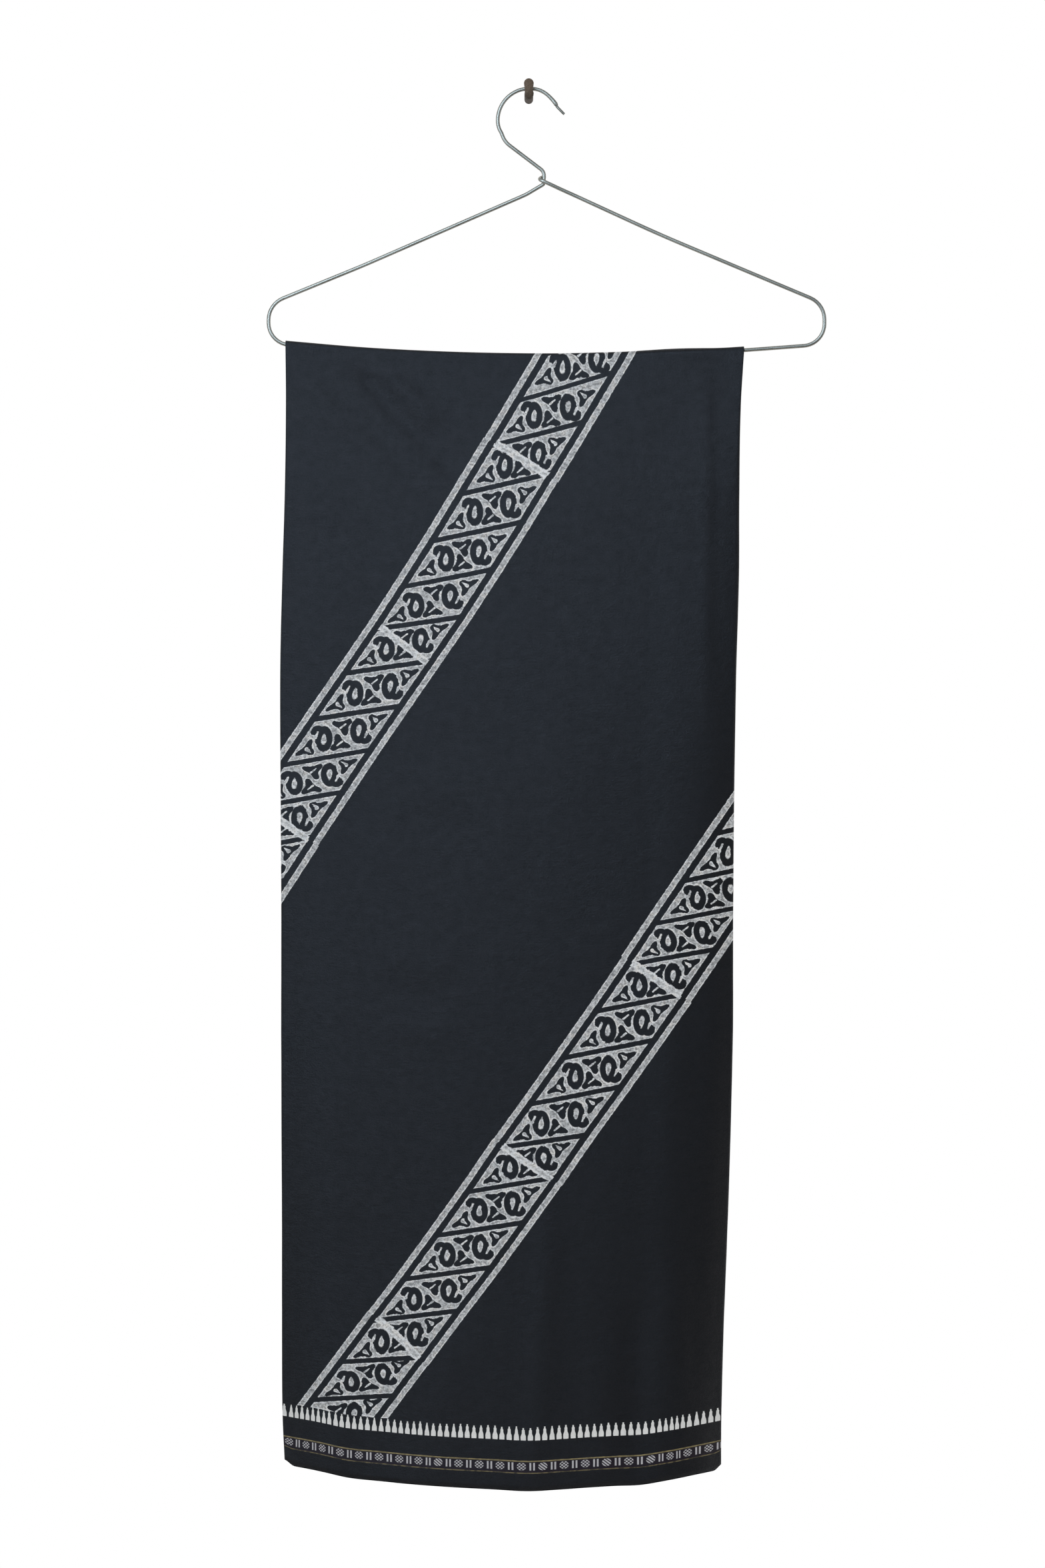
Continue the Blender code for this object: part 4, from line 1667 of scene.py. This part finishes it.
    def build(self) -> list[bpy.types.Object]:
        """Build the three pieces of cloth.

        Returns:
            The shown, hidden and rear pieces.
        """
        printed = [BlackCotton().make(zone) for zone in Zone]
        rows = self.rows(self.shown_rows)
        mesh = self.sheet_mesh("shown_stretch", rows, [self.shown_line(row) for row in rows], True, False)
        shown = self.dress(mesh, printed, "outer_layer")
        rows = self.rows(self.hidden_rows, self.hidden_above_hem)
        pairs = [self.hidden_lines(row) for row in rows]
        one = self.sheet_mesh("hidden_stretches", rows, [pair[0] for pair in pairs], False, False)
        two = self.sheet_mesh("second_pair", rows, [pair[1] for pair in pairs], False, False)
        hidden = self.dress(merged(one, two), printed, "inner_layers")
        rows = self.rows(self.rear_rows, self.rear_above_hem)
        mesh = self.sheet_mesh("rear_stretch", rows, [self.rear_line(row) for row in rows], False, True)
        rear = self.dress(mesh, printed, "rear_layer")
        return [shown, hidden, rear]


def placed(name: str, data: bpy.types.ID) -> bpy.types.Object:
    """A new object in the scene, with this mesh, curve, light or camera.

    Args:
        name: Its name.
        data: What it shows.

    Returns:
        The object.
    """
    made = bpy.data.objects.new(name, data)
    bpy.context.scene.collection.objects.link(made)
    return made


def stand_in(
    piece: bpy.types.Object, finishes: list[bpy.types.Material], node: str
) -> bpy.types.Object:
    """Dress a piece and put it in the place of a CAD node.

    Args:
        piece: The piece.
        finishes: Its materials, in the order of its faces' numbers.
        node: The CAD node that it stands for.

    Returns:
        The piece.
    """
    for finish in finishes:
        piece.data.materials.append(finish)
    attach(piece, BODY)
    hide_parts(node)
    LOG.info("%s stands for %s", piece.name, node)
    return piece


def build_sheet(
    name: str, grid: list[np.ndarray], maps: dict[str, list[np.ndarray]], turned: bool
) -> bpy.types.Mesh:
    """A mesh of four-sided faces through a grid, with its UV maps and a slot number for each face.

    Args:
        name: The mesh's name.
        grid: Points, one array for each row.
        maps: Coordinates of each point by UV map, one array for each row.
        turned: Whether faces look to the other side.

    Returns:
        The mesh.
    """
    count, width = len(grid), len(grid[0])
    first = (np.arange(count - 1)[:, None] * width + np.arange(width - 1)[None, :]).ravel()
    faces = np.stack([first, first + width, first + width + 1, first + 1], axis=1)
    if turned:
        faces = faces[:, ::-1]
    mesh = bpy.data.meshes.new(name)
    mesh.from_pydata(np.concatenate(grid).tolist(), [], faces.tolist())
    flat = {label: np.concatenate(rows) for label, rows in maps.items()}
    for label, places in flat.items():
        layer = mesh.uv_layers.new(name=label)
        layer.data.foreach_set("uv", places[faces.ravel()].astype(np.float32).ravel())
    period = flat["Bands"][:, 0][faces]
    offset = (period - np.floor(period + 0.5)) * BAND_PERIOD / MM
    up = flat["Cloth"][:, 1][faces]
    zones = BlackCotton().zones(offset, np.minimum(up, CLOTH_WIDTH - up) / MM)
    mesh.polygons.foreach_set("material_index", zones.astype(np.int32))
    mesh.shade_smooth()
    mesh.update()
    return mesh


def merged(one: bpy.types.Mesh, two: bpy.types.Mesh) -> bpy.types.Mesh:
    """Both meshes as one.

    Args:
        one: The mesh that keeps its name.
        two: The mesh that goes into it.

    Returns:
        The first mesh with both in it.
    """
    work = bmesh.new()
    work.from_mesh(one)
    work.from_mesh(two)
    work.to_mesh(one)
    work.free()
    bpy.data.meshes.remove(two)
    return one


# The hanger and the peg


def bent_corner(
    before: Vector, corner: Vector, after: Vector, radius: float, step_deg: float
) -> list[Vector]:
    """Points of the arc that rounds one corner of a flat route.

    Args:
        before: The route's point before the corner.
        corner: The corner.
        after: The route's point after the corner.
        radius: The bend's radius.
        step_deg: Angle between points.

    Returns:
        The arc's points.
    """
    come = (corner - before).normalized()
    leave = (after - corner).normalized()
    turn = come.angle(leave)
    start = corner - come * radius * math.tan(turn / 2)
    side = (leave - come * leave.dot(come)).normalized()
    centre = start + side * radius
    steps = max(FEWEST_STEPS, round(math.degrees(turn) / step_deg))
    angles = [turn * k / steps for k in range(steps + 1)]
    return [centre - side * radius * math.cos(a) + come * radius * math.sin(a) for a in angles]


def tube(name: str, points: list[Vector], radii: list[float], resolution: int) -> bpy.types.Object:
    """A round bar along points, with a radius at each point and filled ends.

    Args:
        name: The piece's name.
        points: Its centre line.
        radii: The radius at each point.
        resolution: The curve's bevel resolution.

    Returns:
        The piece.
    """
    curve = bpy.data.curves.new(name, "CURVE")
    curve.dimensions = "3D"
    curve.bevel_depth = 1.0
    curve.bevel_resolution = resolution
    curve.use_fill_caps = True
    spline = curve.splines.new("POLY")
    spline.points.add(len(points) - 1)
    for point, place, radius in zip(spline.points, points, radii):
        point.co = (*place, 1.0)
        point.radius = radius
    spline.use_smooth = True
    return placed(name, curve)


@dataclass
class WireHanger:
    """The hanger: one length of wire from the hook's thin tip to the wrap at the neck."""

    hook_radius: float = 23.3 * MM
    hook_centre_x: float = 0.7 * MM
    hook_top: float = PEG_RADIUS + PEG_GAP + WIRE_RADIUS
    hook_from_deg: float = 33.0
    hook_to_deg: float = 233.0
    hook_steps: int = 48
    # Angle on the hook and how far the real bend departs from its circle, millimetres
    hook_departs: Table = (
        (33.0, -0.9), (46.0, -0.9), (60.0, -0.4), (75.0, 0.0), (180.0, 0.0), (195.0, -0.3),
        (204.0, -0.8), (214.0, -0.3), (224.0, 0.0), (233.0, 0.0),
    )
    # The flattened tail at the hook's tip, from its end: x, z and radius, millimetres
    tail: tuple[Triple, ...] = (
        (25.8, -13.8, 0.80), (25.4, -13.4, 0.98), (20.9, -8.8, 1.02), (20.2, -7.6, 1.10),
        (20.0, -7.1, 1.40),
    )
    # The wire swells a little where the tail ends
    swell: tuple[float, ...] = (1.52 * MM, 1.5 * MM, 1.46 * MM, 1.43 * MM)
    neck_x: float = 10.9
    # Each bend after the hook: x, z and radius, millimetres
    corners: tuple[Triple, ...] = (
        (11.2, -55.6, 6.0), (10.8, -64.6, 2.0), (-2.0, -72.2, 40.0), (-120.0, -123.6, 900.0),
        (-189.2, -151.9, 17.0), (-189.2, -180.2, 16.0), (0.7, -197.0, 2100.0),
        (214.9, -181.0, 16.0), (214.9, -151.6, 17.0), (95.0, -101.2, 1200.0),
    )
    # Bend radius, and the degrees between points of a bend with a larger one
    bend_steps: Table = ((100.0, 0.35), (30.0, 3.0), (0.0, 9.0))
    wrap_z: float = -62.9 * MM
    wrap_turn: float = 0.56
    wrap_pitch: float = 8.0 * MM
    wrap_radius: float = 2.85 * MM
    wrap_steps: int = 16
    # Where the wire leads into the wrap: x in millimetres, and the share of its step to the front
    lead: Table = ((34.0, 0.0), (28.0, 0.08), (22.0, 0.3), (18.5, 0.62), (15.0, 0.9))
    fall_share: float = 1.02
    roundness: int = 6

    def hook(self) -> list[Vector]:
        """The hook in the hanger's plane, from its tip over the peg and down.

        Returns:
            Its points.
        """
        angles = np.linspace(self.hook_from_deg, self.hook_to_deg, self.hook_steps + 1)
        reaches = self.hook_radius + smooth_through(*zip(*self.hook_departs), angles) * MM
        middle = Vector((self.hook_centre_x, self.hook_top - self.hook_radius))
        turns = np.radians(angles)
        return [middle + Vector((math.cos(a), math.sin(a))) * float(r) for a, r in zip(turns, reaches)]

    def fall(self, x_mm: float) -> float:
        """How far the right shoulder has fallen below the wrap at a place along it.

        Args:
            x_mm: The place across, millimetres.

        Returns:
            The fall, metres.
        """
        _, neck_z, _ = self.corners[1]
        corner_x, corner_z, _ = self.corners[-1]
        return (x_mm - self.neck_x) * (neck_z - corner_z) / (corner_x - self.neck_x) * MM * self.fall_share

    def route(self) -> list[Vector]:
        """The wire's centre line from the hook to its other end.

        Returns:
            Its points.
        """
        flat = self.hook()
        start = Vector((self.lead[0][0] * MM, self.wrap_z - self.fall(self.lead[0][0])))
        corners = [Vector((x * MM, z * MM)) for x, z, _ in self.corners]
        stops = [flat[-1]] + corners + [start]
        for i, (_, _, radius) in enumerate(self.corners):
            step = next(step for least, step in self.bend_steps if radius > least)
            flat += bent_corner(stops[i], stops[i + 1], stops[i + 2], radius * MM, step)
        points = [Vector((p.x, HANGER_Y, p.y)) for p in flat]
        for x, share in self.lead:
            points.append(Vector((x * MM, HANGER_Y - self.wrap_radius * share, self.wrap_z - self.fall(x))))
        for k in range(self.wrap_steps + 1):
            share = self.wrap_turn * k / self.wrap_steps
            x = self.neck_x * MM - self.wrap_radius * math.sin(math.tau * share)
            y = HANGER_Y - self.wrap_radius * math.cos(math.tau * share)
            points.append(Vector((x, y, self.wrap_z + self.wrap_pitch * share)))
        return points

    def build(self) -> bpy.types.Object:
        """Build the wire and dress it.

        Returns:
            The piece.
        """
        tail = [Vector((x * MM, HANGER_Y, z * MM)) for x, z, _ in self.tail]
        points = tail + self.route()
        radii = [radius * MM for _, _, radius in self.tail] + [WIRE_RADIUS] * (len(points) - len(tail))
        radii[len(tail) : len(tail) + len(self.swell)] = self.swell
        piece = tube("bent_wire", points, radii, self.roundness)
        return stand_in(piece, [BareSteel().make()], "hanger_wire")


@dataclass
class WallPeg:
    """The peg: straight out of the wall, bent up in front of the wire, with a rounded head."""

    head_radius: float = 3.55 * MM
    bend: float = 4.6 * MM
    bend_steps: int = 16
    top_z: float = 11.7 * MM
    # The shank is a little thinner at the wall
    wall_share: float = 0.9
    wall_reach: float = 0.4 * MM
    # The bend swells, narrows at a waist above it, and leans aside
    swell: float = 0.2 * MM
    waist_z: float = 3.1 * MM
    waist_half: float = 1.3 * MM
    waist_depth: float = 0.5 * MM
    aside: float = 0.22 * MM
    waist_aside: float = 1.6
    neck_steps: int = 4
    head_steps: int = 10
    head_deg: float = 87.0
    roundness: int = 8

    def build(self) -> bpy.types.Object:
        """Build the peg and dress it.

        Returns:
            The piece.
        """
        front = HANGER_Y - WIRE_RADIUS - PEG_GAP - self.head_radius
        points = [Vector((0, 0, 0)), Vector((0, -self.wall_reach, 0))]
        radii = [PEG_RADIUS * self.wall_share, PEG_RADIUS]
        for k in range(self.bend_steps + 1):
            share = k / self.bend_steps
            angle = math.pi / 2 * share
            z = self.bend * (1 - math.cos(angle))
            lobe = math.sin(math.pi * share)
            waist = math.exp(-(((z - self.waist_z) / self.waist_half) ** 2))
            x = self.aside * (lobe - self.waist_aside * waist)
            points.append(Vector((x, front + self.bend * (1 - math.sin(angle)), z)))
            radii.append(PEG_RADIUS + self.swell * lobe - self.waist_depth * waist)
        dome = self.top_z - self.head_radius
        for k in range(1, self.neck_steps):
            share = k / self.neck_steps
            points.append(Vector((0, front, lerp(self.bend, dome, share))))
            radii.append(lerp(PEG_RADIUS, self.head_radius, float(ease(share))))
        for k in range(self.head_steps + 1):
            angle = math.radians(self.head_deg) * k / self.head_steps
            points.append(Vector((0, front, dome + self.head_radius * math.sin(angle))))
            radii.append(self.head_radius * math.cos(angle))
        piece = tube("upturned_peg", points, radii, self.roundness)
        return stand_in(piece, [BrownIron().make()], "wall_peg")


# The studio


@dataclass(frozen=True)
class Lamp:
    """A square soft light: where it stands, the length of its side, its power in watts and its tint."""

    at: Triple
    side: float
    power: float
    tint: Colour


@dataclass
class Studio:
    """Floor, soft light and the camera."""

    floor_z: float = -1.45
    floor_radius: float = 0.8
    floor_sides: int = 96
    # Share of the floor's radius, and how high the floor lies there
    floor_edge: Table = ((0.985, 0.0), (0.998, -0.003), (1.0, -0.008))
    key: Lamp = Lamp((-0.95, -1.5, 0.35), 0.9, 15.5, (0.96, 0.98, 1.0))
    fill: Lamp = Lamp((1.0, -1.5, -0.55), 1.2, 9.5, (1.0, 0.99, 0.97))
    # Where every light looks, the middle of the cloth
    lit: Triple = (0.0, HANGER_Y, -0.5)
    # How white the surroundings are in front, and from where to where they turn fully white
    front_level: float = 0.14
    level_ends: Pair = (-0.3, 0.5)
    # The nearest distance that the camera draws
    nearest: float = 0.05
    # Soft panels that only show as gloss: place and power
    panels: tuple[tuple[Triple, float], ...] = (
        ((-0.75, -1.3, 0.1), 10.8),
        ((-0.35, -1.2, 0.45), 9.2),
        ((-1.1, -1.0, -0.3), 3.6),
        ((0.5, -1.3, 0.15), 1.1),
        ((0.9, -0.9, 0.0), 2.0),
    )
    panel_side: float = 0.6
    panel_tint: Colour = (0.67, 0.83, 1.0)

    def floor(self) -> None:
        """A plain pale disc with an eased edge."""
        work = bmesh.new()
        centre = work.verts.new((0.0, 0.0, self.floor_z))
        angles = [math.tau * k / self.floor_sides for k in range(self.floor_sides)]
        last = None
        for share, rise in self.floor_edge:
            r, z = self.floor_radius * share, self.floor_z + rise
            ring = [work.verts.new((r * math.cos(a), r * math.sin(a), z)) for a in angles]
            for k in range(self.floor_sides):
                n = (k + 1) % self.floor_sides
                if last is None:
                    work.faces.new((centre, ring[k], ring[n]))
                else:
                    work.faces.new((last[k], ring[k], ring[n], last[n]))
            last = ring
        mesh = bpy.data.meshes.new("floor")
        work.to_mesh(mesh)
        work.free()
        mesh.materials.append(PaleFloor().make())
        placed("floor", mesh)

    def light(self, name: str, lamp: Lamp) -> bpy.types.Object:
        """A light that looks at the cloth.

        Args:
            name: Its name.
            lamp: The light that it is.

        Returns:
            The light in the scene.
        """
        data = bpy.data.lights.new(name, "AREA")
        data.size = lamp.side
        data.energy = lamp.power
        data.color = lamp.tint
        light = placed(name, data)
        light.location = lamp.at
        light.rotation_euler = (Vector(self.lit) - Vector(lamp.at)).to_track_quat("-Z", "Y").to_euler()
        light.visible_camera = False
        return light

    def world(self) -> None:
        """White surroundings, which light the cloth less from the front."""
        world = bpy.data.worlds.new("studio")
        bpy.context.scene.world = world
        world.use_nodes = True
        nodes, links = world.node_tree.nodes, world.node_tree.links
        back = nodes["Background"]
        way = nodes.new("ShaderNodeTexCoord")
        parts = nodes.new("ShaderNodeSeparateXYZ")
        level = nodes.new("ShaderNodeMapRange")
        level.interpolation_type = "SMOOTHSTEP"
        links.new(way.outputs["Generated"], parts.inputs[0])
        links.new(parts.outputs[1], level.inputs[0])
        for socket, value in zip(list(level.inputs)[1:5], (*self.level_ends, self.front_level, 1.0)):
            socket.default_value = value
        seen = nodes.new("ShaderNodeLightPath")
        strength = nodes.new("ShaderNodeMath")
        strength.operation = "MAXIMUM"
        links.new(level.outputs[0], strength.inputs[0])
        links.new(seen.outputs["Is Camera Ray"], strength.inputs[1])
        links.new(strength.outputs[0], back.inputs["Strength"])
        back.inputs["Color"].default_value = (1.0, 1.0, 1.0, 1.0)

    def camera(self) -> None:
        """The camera, level with the cloth's middle and square to it."""
        data = bpy.data.cameras.new("camera")
        data.sensor_fit = "VERTICAL"
        data.angle = 2 * math.atan(VIEW_HEIGHT / 2 / VIEW_DISTANCE)
        data.clip_start = self.nearest
        camera = placed("camera", data)
        camera.location = CAMERA_AT
        camera.rotation_euler = (math.radians(90), 0.0, 0.0)
        bpy.context.scene.camera = camera

    def build(self) -> None:
        """Build the whole studio."""
        bpy.context.scene.view_settings.view_transform = "Standard"
        self.floor()
        self.world()
        for name, lamp in (("key", self.key), ("fill", self.fill)):
            self.light(name, lamp).visible_glossy = False
        for k, (at, power) in enumerate(self.panels):
            panel = Lamp(at, self.panel_side, power, self.panel_tint)
            self.light(f"panel_{k}", panel).visible_diffuse = False
        self.camera()
        LOG.info("studio is set")


def main() -> None:
    """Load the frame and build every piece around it."""
    logging.basicConfig(level=logging.INFO, format="%(name)s: %(message)s")
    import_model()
    Studio().build()
    WallPeg().build()
    WireHanger().build()
    FoldedCloth().build()


if __name__ == "__main__":
    main()
